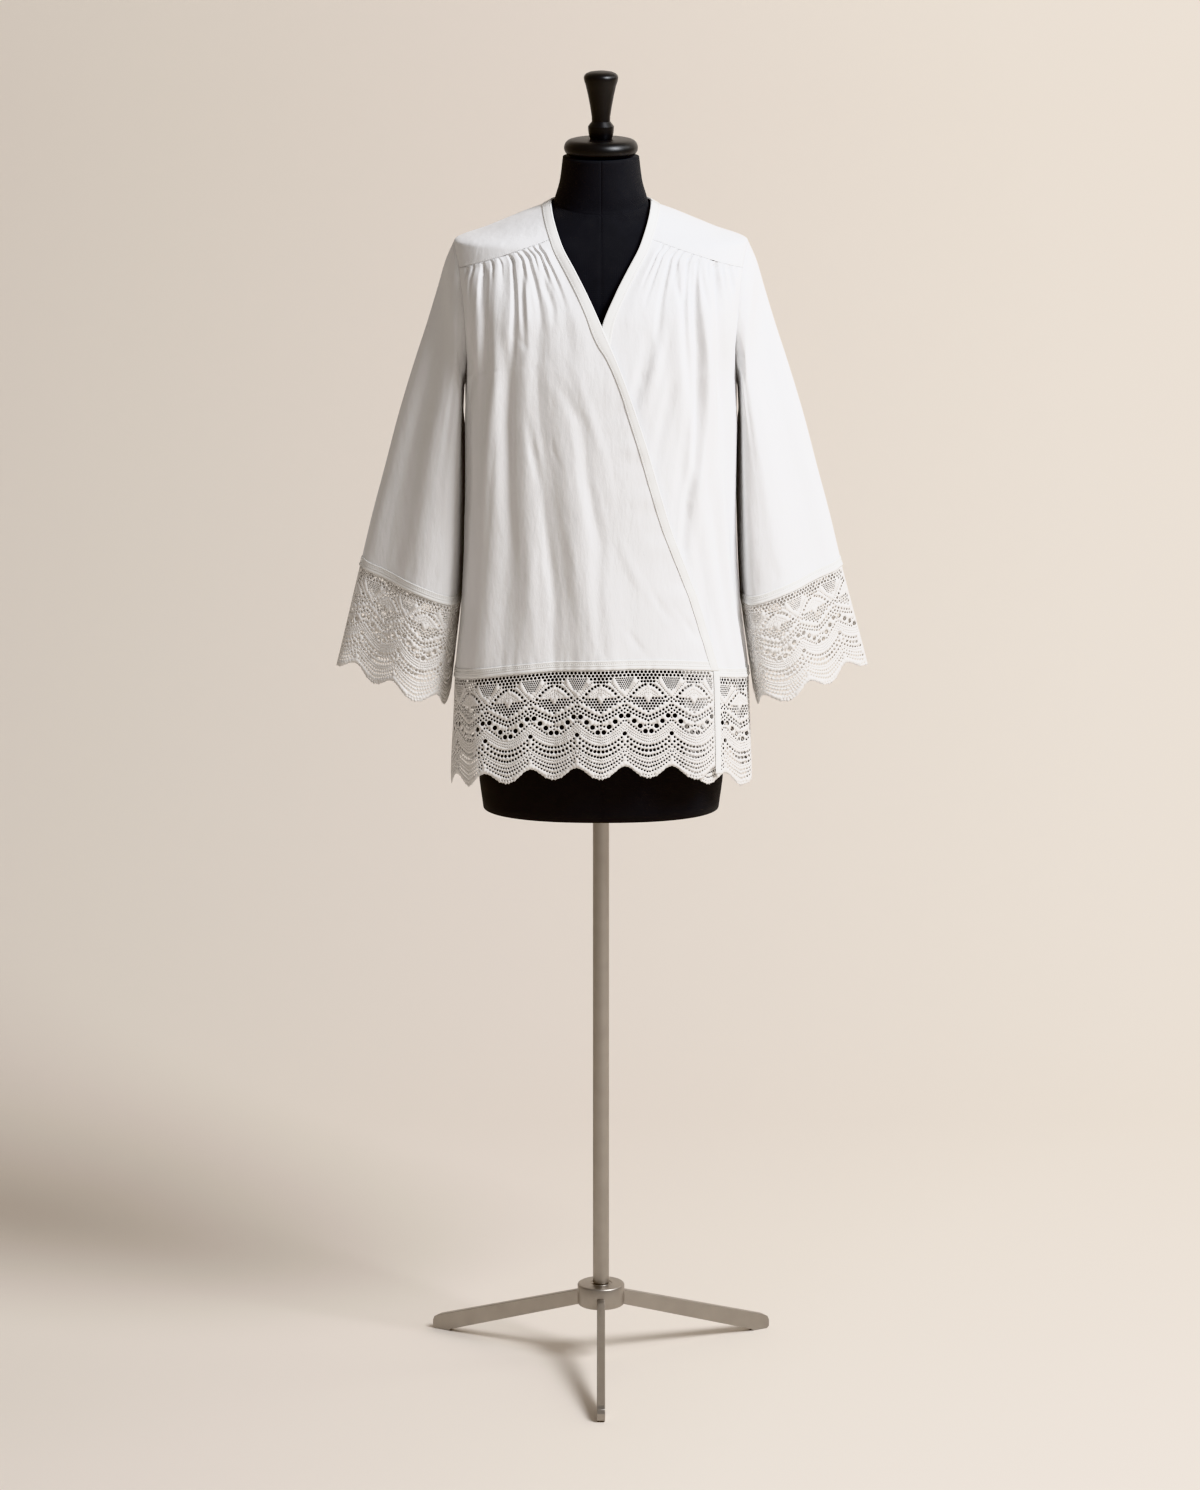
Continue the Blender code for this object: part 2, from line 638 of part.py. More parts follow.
def build_sleeve(which, side):
    turns = [2 * math.pi * i / SLEEVE_STEPS for i in range(SLEEVE_STEPS)]
    if side > 0:
        turns.reverse()
    rows = [[sleeve_point(ring, number, turn, side) for turn in turns]
            for number, ring in enumerate(SLEEVE)]
    add_wall(f"sleeve_{which}", mesh_of_rows("sleeve", rows, closed=True), COTTON,
             inside_sleeve(side))
    tape = mesh_of_rows("heading", rows[-2:], closed=True)
    add_wall(f"heading_sleeve_{which}", tape, TAPE, inside_sleeve(side), BAND_WALL, out=True,
             lift=SEAM)


def cuff_lace(which, side):
    """The cuff lace in two pieces, the front and the back half of the cuff."""
    last = len(SLEEVE) - 1
    for half, inner_turn in (("front", math.pi), ("back", -math.pi)):
        turns = np.linspace(0.0, inner_turn, 181)
        ring = [sleeve_point(SLEEVE[-1], last, turn, side) for turn in turns]
        lengths = np.cumsum([0.0] + [(q - p).length for p, q in zip(ring, ring[1:])])

        def point_at(along, down):
            turn = float(np.interp(along, lengths, turns))
            start_point = sleeve_point(SLEEVE[-1], last, turn, side)
            blend = 0.5 + 0.5 * math.cos(turn)
            run = CUFF_LACE_OUTER * blend + CUFF_LACE_INNER * (1 - blend)
            flare = Vector((side * run.x, -CUFF_LACE_FLARE * math.sin(turn), run.z))
            return start_point + flare * (down / LACE_DEPTH)
        build_lace(f"lace_sleeve_{which}_{half}", point_at, float(lengths[-1]), 7,
                   inside_sleeve(side), start=LACE_JOINT)


# --- the garment ------------------------------------------------------------------------------------
def build_yoke():
    """One piece over both shoulders and the upper back, and the neck band's points on it."""
    start = yoke_seam(-1, -SEAM)
    end = yoke_seam(1, -SEAM)

    def from_neck(edge):
        return lambda share: edge(1 - share)

    def neck_edge(share):
        """From the right front corner over the shoulder, round the back, to the left front."""
        mirrored = share > 0.5
        share = 1 - share if mirrored else share
        corner_z = start(1.0)[1]
        if share < RIDGE:
            rise = share / RIDGE
            z = corner_z + (NECK_Z - corner_z) * rise
            x = YOKE_CORNER_X + (NECK_HALF - YOKE_CORNER_X) * rise * (1 + NECK_BOW * (1 - rise))
            bearing = bearing_at_x(-x, z)
        else:
            z = NECK_Z
            bearing = BACK_MIDDLE * (share - RIDGE) / (0.5 - RIDGE)
        return np.array([math.pi - bearing if mirrored else bearing, z])

    def outer_edge(share):
        """Armhole from the front seam over the shoulder, then the back seam."""
        mirrored = share > 0.5
        share = 1 - share if mirrored else share
        if share < BACK_CORNER:
            turn = (share - RIDGE) / RIDGE
            way = -1 if turn < 0 else 1
            z = SHOULDER_Z - SEAM + (YOKE_SEAM_Z + 2 * SEAM - SHOULDER_Z) * turn * turn
            bearing = bearing_at_y(way * armhole_y(z), z, -1)
        else:
            z = YOKE_SEAM_Z + SEAM
            corner = bearing_at_y(armhole_y(z), z, -1)
            bearing = corner + (BACK_MIDDLE - corner) * (share - BACK_CORNER) / (0.5 - BACK_CORNER)
        return np.array([math.pi - bearing if mirrored else bearing, z])

    def unmirrored(edge):
        """Bearings that run on past the back centre instead of starting again."""
        def place(share):
            bearing, z = edge(share)
            if share > 0.5 and bearing > BACK_MIDDLE:
                bearing -= 2 * math.pi
            return np.array([bearing, z])
        return place

    def end_edge(share):
        bearing, z = end(1 - share)
        return np.array([bearing - 2 * math.pi, z])

    place = patch(unmirrored(neck_edge), unmirrored(outer_edge), from_neck(start), end_edge)
    half = [RIDGE * i / OVER_STEPS for i in range(2 * OVER_STEPS)]
    half += [BACK_CORNER + (0.5 - BACK_CORNER) * i / BACK_STEPS for i in range(BACK_STEPS)]
    shares = half + [0.5] + [1 - share for share in reversed(half)]
    rows = []
    for t in (0.0, None, *YOKE_ROWS):
        points = []
        for s in shares:
            near = round_body(CLOTH, *place(s, 0.0)), round_body(CLOTH, *place(s, 0.1))
            down = 0.1 * BAND_WIDTH / (near[1] - near[0]).length if t is None else t
            points.append(on_body(place(s, down)))
        rows.append(points)
    add_wall("yoke", mesh_of_rows("yoke", rows), COTTON, inside_body)
    return rows[:2]


def build_fronts(neck_rows):
    right = patch(yoke_seam(-1, 0.0), even_hem(RIGHT + hem_gap(-1), OUTER_END),
                  side_edge(-1, -1), free_edge(OUTER_EDGE))
    outer_rows = build_panel("front_right", right, lap_lift, OUTER_FOLDS, GATHERS_FRONT, bands=True)
    left = patch(yoke_seam(1, 0.0), even_hem(LEFT - hem_gap(-1), INNER_END),
                 side_edge(1, -1), free_edge(INNER_EDGE))
    inner_rows = build_panel("front_left", left, no_lift, INNER_FOLDS, GATHERS_FRONT, bands=True)

    ridge = OVER_STEPS
    neck, below = neck_rows
    right_pairs = list(zip(neck, below))[ridge::-1][:-1]
    left_pairs = list(zip(neck, below))[len(neck) - 1 - ridge:][:-1]
    for name, over_yoke, rows in (("band_right", right_pairs, outer_rows),
                                  ("band_left", left_pairs, inner_rows)):
        pairs = [list(pair) for pair in over_yoke] + [[row[-1], row[-2]] for row in rows]
        add_strip(name, pairs, TAPE)
    back_pairs = [list(pair) for pair in list(zip(neck, below))[ridge:len(neck) - ridge]]
    clear_ends(back_pairs)
    add_strip("band_neck_back", back_pairs, TAPE)
    add_strip("heading_front_right", heading_pairs(outer_rows), TAPE)
    add_strip("heading_front_left", heading_pairs(inner_rows), TAPE)
    return right, left


def clear_ends(pairs):
    """Shorten a strip by the seam's gap at both ends."""
    for end, beside in ((0, 1), (-1, -2)):
        for i in (0, 1):
            along = (pairs[beside][i] - pairs[end][i]).normalized()
            pairs[end][i] = pairs[end][i] + along * SEAM


def heading_pairs(rows):
    """The lowest strip of a panel, without the column that its front band covers."""
    upper, lower = rows[-2], rows[-1]
    keep = len(lower) - 1 if len(lower) % 2 == 0 else len(lower)
    pairs = [[upper[i], lower[i]] for i in range(keep)]
    clear_ends(pairs)
    return pairs


def add_strip(name, pairs, material):
    add_wall(name, mesh_of_rows(name, pairs), material, inside_body, BAND_WALL, out=True, lift=SEAM)


def no_lift(place):
    return 0.0


def hem_gap(way):
    """Bearing of half a seam's gap at the side seam's hem."""
    return abs(bearing_at_y(way * SEAM, HEM_SIDE_Z, -1))


def build_back():
    """The back, from the wearer's right side round to the left, gathered into the yoke."""
    corner = abs(bearing_at_y(armhole_y(YOKE_SEAM_Z), YOKE_SEAM_Z, -1))

    def top(share):
        return np.array([-corner - (math.pi - 2 * corner) * share, YOKE_SEAM_Z])

    def left_edge(share):
        bearing, z = side_edge(1, 1)(share)
        return np.array([bearing - 2 * math.pi, z])

    place = patch(top, even_hem(RIGHT - hem_gap(1), -LEFT + hem_gap(1)), side_edge(-1, 1), left_edge)
    rows = build_panel("back", place, no_lift, BACK_FOLDS, GATHERS_BACK, bands=False)
    add_strip("heading_back", heading_pairs(rows), TAPE)
    return place


def build_body_lace(right, left, back):
    length = even_hem(RIGHT + hem_gap(-1), OUTER_END).length
    point_at = hem_profile(right, lap_lift, OUTER_FOLDS, length, bands=True)
    build_lace("lace_front_right", point_at, length - LACE_EDGE, 14, inside_body, from_cusp=True)
    build_lace_edge(point_at, length)

    length = even_hem(LEFT - hem_gap(-1), INNER_END).length
    point_at = hem_profile(left, no_lift, INNER_FOLDS, length, bands=True)
    build_lace("lace_front_left", point_at, length, 5, inside_body)

    length = even_hem(RIGHT - hem_gap(1), -LEFT + hem_gap(1)).length
    point_at = hem_profile(back, no_lift, BACK_FOLDS, length, bands=False)
    build_lace("lace_back", point_at, length, 17, inside_body, from_cusp=True)


def build_lace_edge(point_at, length):
    """Plain folded edge that carries on the front band down the side of the lace."""
    steps = 6
    depth = LACE_DEPTH - SCALLOP / 2
    rows = []
    for i in range(steps + 1):
        down = SEAM + (depth - SEAM) * i / steps
        rows.append([point_at(length - LACE_EDGE + SEAM, down), point_at(length, down)])
    add_wall("lace_front_right_edge", mesh_of_rows("lace_edge", rows), TAPE, inside_body)


# --- dress form and stand --------------------------------------------------------------------------
def build_form():
    """The torso with its neck, one closed body with a flat bottom."""
    form = bmesh.new()
    heights = [FORM_TOP, 1.630, 1.609, 1.592, 1.5765, 1.561, 1.549, 1.5415, 1.529, 1.505, 1.47,
               1.41, 1.31, 1.18, 1.06, 0.94, 0.85, FORM_BOTTOM]
    lines = []
    for z in heights:
        lines.append([form.verts.new(round_body(FORM, 2 * math.pi * i / FORM_STEPS, z))
                      for i in range(FORM_STEPS)])
    for upper, lower in zip(lines, lines[1:]):
        for i in range(FORM_STEPS):
            j = (i + 1) % FORM_STEPS
            form.faces.new((upper[i], lower[i], lower[j], upper[j]))
    form.faces.new(lines[0])
    form.faces.new(lines[-1][::-1])
    bmesh.ops.recalc_face_normals(form, faces=form.faces[:])
    mesh = bpy.data.meshes.new("form_torso")
    form.to_mesh(mesh)
    form.free()
    mesh.shade_smooth()
    add_object("form_torso", mesh, JERSEY)


def build_cap_and_finial():
    round_middle = CAP_RADIUS - 0.0110
    profile = [(0.0, CAP_TOP), (0.0365, CAP_TOP)]
    for i in range(5):
        angle = math.radians(80 - 42 * i)
        profile.append((round_middle + 0.0110 * math.cos(angle), 1.6655 + 0.0110 * math.sin(angle)))
    profile.append((0.0, CAP_BOTTOM))
    add_turned("neck_cap", profile, LACQUER, 24)
    finial = [(0.0, FINIAL_TOP), (0.0150, 1.7645), (0.0225, 1.7580), (0.0220, 1.7530),
              (0.0120, 1.7000), (0.0170, 1.6935), (0.0168, 1.6885), (0.0142, CAP_TOP + SEAM),
              (0.0, CAP_TOP + SEAM)]
    add_turned("neck_finial", finial, LACQUER, 20)


def build_stand():
    pole_bottom = HUB_TOP + SEAM
    pole_top = FORM_BOTTOM - SEAM
    bpy.ops.mesh.primitive_cylinder_add(vertices=20, radius=POLE_RADIUS, depth=pole_top - pole_bottom)
    made = bpy.context.object
    mesh = made.data
    bpy.data.objects.remove(made)
    pole = add_object("stand_pole", mesh, STEEL)
    pole.location.z = (pole_top + pole_bottom) / 2

    chamfer = 0.0020
    hub = [(0.0, HUB_TOP), (HUB_RADIUS - chamfer, HUB_TOP), (HUB_RADIUS, HUB_TOP - chamfer),
           (HUB_RADIUS, HUB_BOTTOM + chamfer), (HUB_RADIUS - chamfer, HUB_BOTTOM), (0.0, HUB_BOTTOM)]
    add_turned("stand_hub", hub, STEEL, 24)

    root = HUB_RADIUS + SEAM
    outline = [(root, 0.0945), (LEG_REACH - 0.0090, 0.0210), (LEG_REACH - 0.0025, 0.0175),
               (LEG_REACH, 0.0120), (LEG_REACH, 0.0040), (LEG_REACH - 0.0040, 0.0000),
               (LEG_REACH - 0.0260, 0.0000), (LEG_REACH - 0.0290, 0.0030), (root, 0.0735)]
    for which, bearing in (("front", -90), ("right", 150), ("left", 30)):
        flat = bpy.data.curves.new(f"stand_leg_{which}", "CURVE")
        flat.dimensions = "2D"
        flat.fill_mode = "BOTH"
        flat.extrude = LEG_THICK / 2
        spline = flat.splines.new("POLY")
        spline.points.add(len(outline) - 1)
        for point, (reach, z) in zip(spline.points, outline):
            point.co = (reach, z, 0.0, 1.0)
        spline.use_cyclic_u = True
        leg = bpy.data.objects.new(f"stand_leg_{which}", flat)
        flat.materials.append(STEEL)
        PARTS.objects.link(leg)
        leg.parent = STAND_AXIS
        leg.rotation_euler = (math.radians(90), 0.0, math.radians(bearing))


clear_scene()
PARTS = new_collection(NAME)
STAND_AXIS = bpy.data.objects.new("stand_axis", None)
PARTS.objects.link(STAND_AXIS)
STAND_AXIS.location.y = POLE_Y

COTTON = finish("white_cotton", (0.86, 0.86, 0.85), 0.85)
TAPE = finish("white_cotton_tape", (0.88, 0.87, 0.85), 0.80)
LACE = finish("cotton_lace", (0.88, 0.86, 0.82), 0.85)
JERSEY = finish("black_jersey", (0.012, 0.012, 0.013), 0.90)
LACQUER = finish("black_lacquer", (0.010, 0.010, 0.010), 0.25)
STEEL = finish("brushed_steel", (0.42, 0.40, 0.38), 0.35, 1.0)

OUTER_END = bearing_at_x(OUTER_EDGE[-1].x, OUTER_EDGE[-1].z)
INNER_END = bearing_at_x(INNER_EDGE[-1].x, INNER_EDGE[-1].z)

build_form()
build_cap_and_finial()
build_stand()
neck_points = build_yoke()
right_place, left_place = build_fronts(neck_points)
back_place = build_back()
build_body_lace(right_place, left_place, back_place)
for which, side in (("right", -1), ("left", 1)):
    build_sleeve(which, side)
    cuff_lace(which, side)
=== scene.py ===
# %% [markdown]
# # A cross-over surplice on a dress form
# This script dresses a CAD model in real cloth, lace, lacquer and steel.
# The garment is a white cotton surplice: a yoke over the shoulders, two fronts that cross,
# a back, wide sleeves, and a deep lace edging at the hem and the cuffs.
# Everything is in metres, +Z is up, the wearer faces -Y, and the wearer's right is -X.

import math
from collections import namedtuple
from contextlib import contextmanager

import bpy
import numpy as np
from mathutils import Matrix, Vector
from mathutils.geometry import delaunay_2d_cdt


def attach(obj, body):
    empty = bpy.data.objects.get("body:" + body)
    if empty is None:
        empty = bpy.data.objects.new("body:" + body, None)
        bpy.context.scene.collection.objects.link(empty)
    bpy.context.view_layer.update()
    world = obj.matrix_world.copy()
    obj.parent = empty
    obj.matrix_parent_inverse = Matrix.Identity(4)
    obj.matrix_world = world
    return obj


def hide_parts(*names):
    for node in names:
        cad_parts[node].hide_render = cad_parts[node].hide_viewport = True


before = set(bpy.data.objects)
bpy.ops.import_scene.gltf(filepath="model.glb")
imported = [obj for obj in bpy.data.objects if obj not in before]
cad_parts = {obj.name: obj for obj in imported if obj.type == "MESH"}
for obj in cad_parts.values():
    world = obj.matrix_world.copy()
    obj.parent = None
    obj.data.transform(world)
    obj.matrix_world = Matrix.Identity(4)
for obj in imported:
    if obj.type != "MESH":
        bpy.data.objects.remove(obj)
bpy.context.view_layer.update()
MM = 0.001
POLE = np.array([0.0, 0.0574, 0.0])          # the stand's axis
print("nodes to dress:", len(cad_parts))

# %% [markdown]
# ## Colours and materials
# A colour picker shows sRGB values, but a shader works with linear light, so one function
# turns a hex colour to linear. Another adds a node, sets its values and links its inputs,
# so that each material below reads like a short recipe, from its texture coordinates to
# the shader's own sockets.

# %% Helpers for every material
def linear(hex_colour):
    """Linear RGBA of an sRGB colour such as #f0eee9."""
    shares = [int(hex_colour[i:i + 2], 16) / 255 for i in (1, 3, 5)]
    return (*[s / 12.92 if s <= 0.04045 else ((s + 0.055) / 1.055) ** 2.4 for s in shares], 1.0)


def set_inputs(node, inputs):
    """Gives inputs a plain value each, or links the output socket that feeds them."""
    for name, value in inputs.items():
        if isinstance(value, bpy.types.NodeSocket):
            node.id_data.links.new(value, node.inputs[name])
        else:
            node.inputs[name].default_value = value


def add_node(shader, kind, inputs=(), **settings):
    """Adds a node beside a material's shader, and gives back its outputs."""
    node = shader.id_data.nodes.new(f"ShaderNode{kind}")
    for name, value in settings.items():
        setattr(node, name, value)
    set_inputs(node, dict(inputs))
    return node.outputs


def new_material(name, colour, roughness, **sockets):
    """A Principled material with its plain numbers on the shader's own sockets."""
    material = bpy.data.materials.new(name)
    material.use_nodes = True
    shader = material.node_tree.nodes["Principled BSDF"]
    set_inputs(shader, {"Base Color": linear(colour), "Roughness": roughness})
    set_inputs(shader, {socket.replace("_", " "): value for socket, value in sockets.items()})
    return material, shader


def band_scale(pitch):
    """Scale of a Wave texture whose bands lie pitch metres apart."""
    return 2 * math.pi / 20 / pitch


def woven(shader, flat_cloth, pitch):
    """Threads or stitches both ways, pitch metres apart on the flat cloth."""
    ways = [add_node(shader, "TexWave", {"Vector": flat_cloth, "Scale": band_scale(pitch)},
                     bands_direction=way)["Fac"] for way in "XY"]
    return add_node(shader, "Math", dict(enumerate(ways)), operation="MULTIPLY")[0]

# %% [markdown]
# ## Cotton
# The surplice is plain-woven cotton batiste: matt, faintly soft at grazing angles, with
# threads 0.35 mm apart. That is far below a pixel, so the weave is drawn 1.2 mm apart, and
# low. What the eye does see is the crumple that washing leaves, finer across the warp than
# along it, so a stretched noise gives a second bump. Cloth coordinates come from each
# piece's own UV map, which holds metres on the flat cloth.

# %% Woven cotton
THREAD_PITCH = 1.2 * MM


def woven_cotton(name, light, dark, crumple):
    """Plain-woven cotton in two close tones, crumpled that many metres deep."""
    cotton, shader = new_material(name, light, 0.88, Sheen_Weight=0.25, Sheen_Roughness=0.5,
                                  Specular_IOR_Level=0.25)
    place = add_node(shader, "TexCoord")
    weave = add_node(shader, "Bump", {"Height": woven(shader, place["UV"], THREAD_PITCH),
                     "Distance": 0.05 * MM, "Strength": 0.6})
    drawn = add_node(shader, "Mapping", {"Vector": place["Object"], "Scale": (1.0, 1.0, 0.35)})
    soft = add_node(shader, "TexNoise", {"Vector": drawn["Vector"], "Scale": 70.0, "Detail": 4.0,
                    "Roughness": 0.55})
    rumpled = add_node(shader, "Bump", {"Height": soft["Fac"], "Normal": weave["Normal"],
                       "Distance": crumple, "Strength": 1.0})
    clouds = add_node(shader, "TexNoise", {"Vector": place["Object"], "Scale": 9.0, "Detail": 2.0})
    tones = add_node(shader, "Mix", {"Factor": clouds["Fac"], "A": linear(light),
                     "B": linear(dark)}, data_type="RGBA")
    set_inputs(shader, {"Base Color": tones["Result"], "Normal": rumpled["Normal"]})
    return cotton


COTTON = woven_cotton("cotton batiste, plain-woven and pressed", "#f2f2f2", "#ebebeb", 1.3 * MM)
TAPE = woven_cotton("cotton tape, folded and top-stitched", "#f3f3f1", "#ecebe8", 0.4 * MM)
print("cotton drawn with threads", THREAD_PITCH / MM, "mm apart")

# %% [markdown]
# ## The shape that the cloth hangs in
# Real cloth could be dropped on the form by a simulation, but this garment's seams have to
# stay where the solids have them. So each panel is laid out in two coordinates, a
# bearing round the body and a height, on the same table of sections as the solids, and one
# function turns them into points. Bearing 0 is the wearer's right, 90 degrees the front.

# %% Sections of the worn cloth and of the form
def rows(kind, numbers):
    """Named tuples of one kind, from plain rows of numbers."""
    return [kind(*row) for row in numbers]


Section = namedtuple("Section", "z half_width front_depth back_depth squareness")
NECK_HALF, NECK_Z = 0.0656, 1.5960
SHOULDER_HALF, SHOULDER_Z = 0.1930, 1.5430
CLOTH = rows(Section, [
    (1.61, 0.059, 0.052, 0.06, 2.0), (NECK_Z, NECK_HALF, 0.06, 0.066, 2.0),
    (1.58, 0.104, 0.072, 0.077, 2.05), (1.56, 0.152, 0.084, 0.088, 2.15),
    (SHOULDER_Z, SHOULDER_HALF, 0.096, 0.096, 2.25), (1.501, 0.196, 0.115, 0.114, 2.35),
    (1.45, 0.19, 0.131, 0.126, 2.45), (1.366, 0.177, 0.14, 0.134, 2.5),
    (1.25, 0.177, 0.14, 0.135, 2.45), (1.14, 0.179, 0.139, 0.136, 2.4), (1.06, 0.184, 0.14, 0.138, 2.4),
    (0.962, 0.194, 0.142, 0.142, 2.4), (0.82, 0.197, 0.145, 0.146, 2.4),
    (0.76, 0.1975, 0.1455, 0.1465, 2.4),
])
FORM_TOP, FORM_BOTTOM = 1.6540, 0.7800
FORM = rows(Section, [
    (FORM_TOP, 0.05, 0.05, 0.05, 2.0), (1.623, 0.054, 0.052, 0.054, 2.0),
    (1.605, 0.059, 0.0545, 0.06, 2.0), (1.5904, 0.0645, 0.057, 0.0652, 2.0),
    (1.5746, 0.1024, 0.0684, 0.0744, 2.03), (1.5554, 0.1478, 0.0796, 0.0838, 2.1),
    (1.5412, 0.1795, 0.0898, 0.0898, 2.18), (1.52, 0.186, 0.1, 0.098, 2.2),
    (1.49, 0.184, 0.11, 0.108, 2.25), (1.45, 0.174, 0.118, 0.113, 2.3),
    (1.39, 0.16, 0.123, 0.112, 2.35), (1.31, 0.148, 0.115, 0.104, 2.3),
    (1.18, 0.129, 0.096, 0.09, 2.25), (1.06, 0.148, 0.105, 0.108, 2.3),
    (0.94, 0.168, 0.113, 0.123, 2.35), (0.83, 0.164, 0.108, 0.118, 2.35),
    (FORM_BOTTOM, 0.158, 0.103, 0.112, 2.35),
])


def through(table, at):
    """Values at the places at, on smooth curves through a table whose first column is the place."""
    knots = np.array(sorted(tuple(row) for row in table), float)
    places, values = knots[:, 0], knots[:, 1:]
    step = np.diff(places)
    slope = np.diff(values, axis=0) / step[:, None]
    tangent = np.concatenate([slope[:1], slope[1:] * 0, slope[-1:]])
    low, high = slope[:-1], slope[1:]
    same_way = low * high > 0
    tangent[1:-1] = np.where(same_way, 2 * low * high / np.where(same_way, low + high, 1.0), 0.0)
    at = np.clip(np.asarray(at, float), places[0], places[-1])
    i = np.clip(np.searchsorted(places, at) - 1, 0, len(knots) - 2)
    h = step[i][..., None]
    t = ((at - places[i]) / step[i])[..., None]
    return ((2 * t**3 - 3 * t**2 + 1) * values[i] + (t**3 - 2 * t**2 + t) * h * tangent[i]
            + (3 * t**2 - 2 * t**3) * values[i + 1] + (t**3 - t**2) * h * tangent[i + 1])


def spread(*values):
    """Numbers and arrays, brought to one shape."""
    return np.broadcast_arrays(*[np.asarray(value, float) for value in values])


def round_body(table, bearing, z):
    """Points on the sections at heights z."""
    bearing, z = spread(bearing, z)
    half_width, front_depth, back_depth, squareness = np.moveaxis(through(table, z), -1, 0)
    power = 2.0 / squareness
    c, s = np.cos(bearing), np.sin(bearing)
    depth = np.where(s > 0, front_depth, back_depth)
    x = -half_width * np.sign(c) * np.abs(c) ** power
    y = -depth * np.sign(s) * np.abs(s) ** power
    return np.stack([x, y, z], axis=-1)


def unit(vectors):
    """Vectors of the same directions, one metre long."""
    return vectors / np.linalg.norm(vectors, axis=-1, keepdims=True)


def lengths_along(line):
    """Length from a line's first point to each of its points."""
    return np.concatenate([[0.0], np.cumsum(np.linalg.norm(np.diff(line, axis=0), axis=1))])


def points_at(wanted, places, line):
    """Points of a line at the wanted places, where places are those of its own points."""
    return np.stack([np.interp(wanted, places, line[:, k]) for k in range(3)], axis=-1)


def ease(x):
    """Smooth step: 0 up to 0, 1 from 1 on."""
    x = np.clip(x, 0.0, 1.0)
    return x * x * (3 - 2 * x)


def on_body(bearing, z, out=0.0):
    """Points of the cloth's outer face, moved out by out along the normal."""
    near, near_z = 0.02, 0.002
    along = round_body(CLOTH, bearing + near, z) - round_body(CLOTH, bearing - near, z)
    up = round_body(CLOTH, bearing, z + near_z) - round_body(CLOTH, bearing, z - near_z)
    return round_body(CLOTH, bearing, z) + unit(np.cross(along, up)) * np.asarray(out)[..., None]


print("chest at 1.366 m:", round_body(CLOTH, np.array([0.0, math.pi / 2]), 1.366).round(4).tolist())

# %% [markdown]
# ## Seams
# A maker cuts panels by their edges, and so does this cell: each edge is a function from
# 0..1 to (bearing, height). A panel is then the smooth blend of its four edges, known as a
# Coons patch. Two panels that name the same edge share their seam exactly.

# %% Edges of the panels
WALL = 1.0 * MM            # the cloth is drawn a little thicker than batiste, so that its edges show
SEAM = 0.3 * MM            # gap between neighbouring pieces
YOKE_CORNER_X, YOKE_CORNER_Z = 0.0550, 1.5604
YOKE_SEAM_Z, UNDERARM_Z, ARMHOLE_DEPTH = 1.5137, 1.3660, 0.0580
HEM_SIDE_Z, HEM_FRONT_Z, HEM_BACK_Z = 0.9620, 0.9890, 0.9760
BAND_WIDTH = 0.0130
RIGHT, LEFT, BACK_MIDDLE = 0.0, math.pi, -math.pi / 2
EdgePoint = namedtuple("EdgePoint", "z x")
OUTER_EDGE = rows(EdgePoint, [
    (YOKE_CORNER_Z, -YOKE_CORNER_X), (1.547, -0.0495), (1.5194, -0.0339), (1.4917, -0.0191),
    (1.446, 0.0026), (1.3873, 0.0273), (1.3028, 0.0559), (1.186, 0.089), (1.0842, 0.1245),
    (0.986, 0.152),
])
INNER_EDGE = rows(EdgePoint, [
    (YOKE_CORNER_Z, YOKE_CORNER_X), (1.547, 0.0495), (1.5194, 0.0339), (1.4917, 0.0191), (1.446, 0.0),
    (1.395, -0.008), (1.32, 0.002), (1.22, 0.03), (1.1, 0.068), (0.988, 0.108),
])


def pair(bearing, z):
    """(bearing, z) pairs as one array."""
    return np.stack(spread(bearing, z), axis=-1)


def bearing_at_x(x, z):
    """Bearing on the front of the body where its width reaches x."""
    half_width, _, _, squareness = np.moveaxis(through(CLOTH, z), -1, 0)
    angle = np.arccos(np.minimum(np.abs(x) / half_width, 1.0) ** (squareness / 2))
    return np.where(np.asarray(x) < 0, angle, math.pi - angle)


def bearing_at_y(y, z, side):
    """Bearing near the wearer's right (side -1) or left (+1) where the depth reaches y."""
    _, front_depth, back_depth, squareness = np.moveaxis(through(CLOTH, z), -1, 0)
    y = np.asarray(y, float)
    depth = np.where(y < 0, front_depth, back_depth)
    angle = np.arcsin(np.minimum(np.abs(y) / depth, 1.0) ** (squareness / 2))
    angle = np.where(y < 0, angle, -angle)
    return angle if side < 0 else math.pi - angle


def armhole_y(z):
    """Half the armhole's width at height z."""
    middle = (SHOULDER_Z + UNDERARM_Z) / 2
    share = (z - middle) / ((SHOULDER_Z - UNDERARM_Z) / 2)
    return ARMHOLE_DEPTH * np.sqrt(np.maximum(1 - share * share, 0.0))


def hem_z(bearing):
    """The hem rises from the side seams to the middle of the front and of the back."""
    middle = np.where(np.sin(bearing) > 0, HEM_FRONT_Z, HEM_BACK_Z)
    return HEM_SIDE_Z + (middle - HEM_SIDE_Z) * np.sin(bearing) ** 2


def side_edge(side, way):
    """Armhole, then side seam. way is -1 on the front's side of it and +1 on the back's."""
    def place(share):
        z = YOKE_SEAM_Z + (HEM_SIDE_Z - YOKE_SEAM_Z) * np.asarray(share, float)
        reach = np.where(z > UNDERARM_Z, armhole_y(z), 0.0)
        return pair(bearing_at_y(way * np.maximum(reach, SEAM), z, side), z)
    return place


def free_edge(table):
    """A front's free edge, from a table of its heights and widths."""
    def place(share):
        z = table[0].z + (table[-1].z - table[0].z) * np.asarray(share, float)
        x = through(table, z)[..., 0]
        return pair(bearing_at_x(x, z), z)
    return place


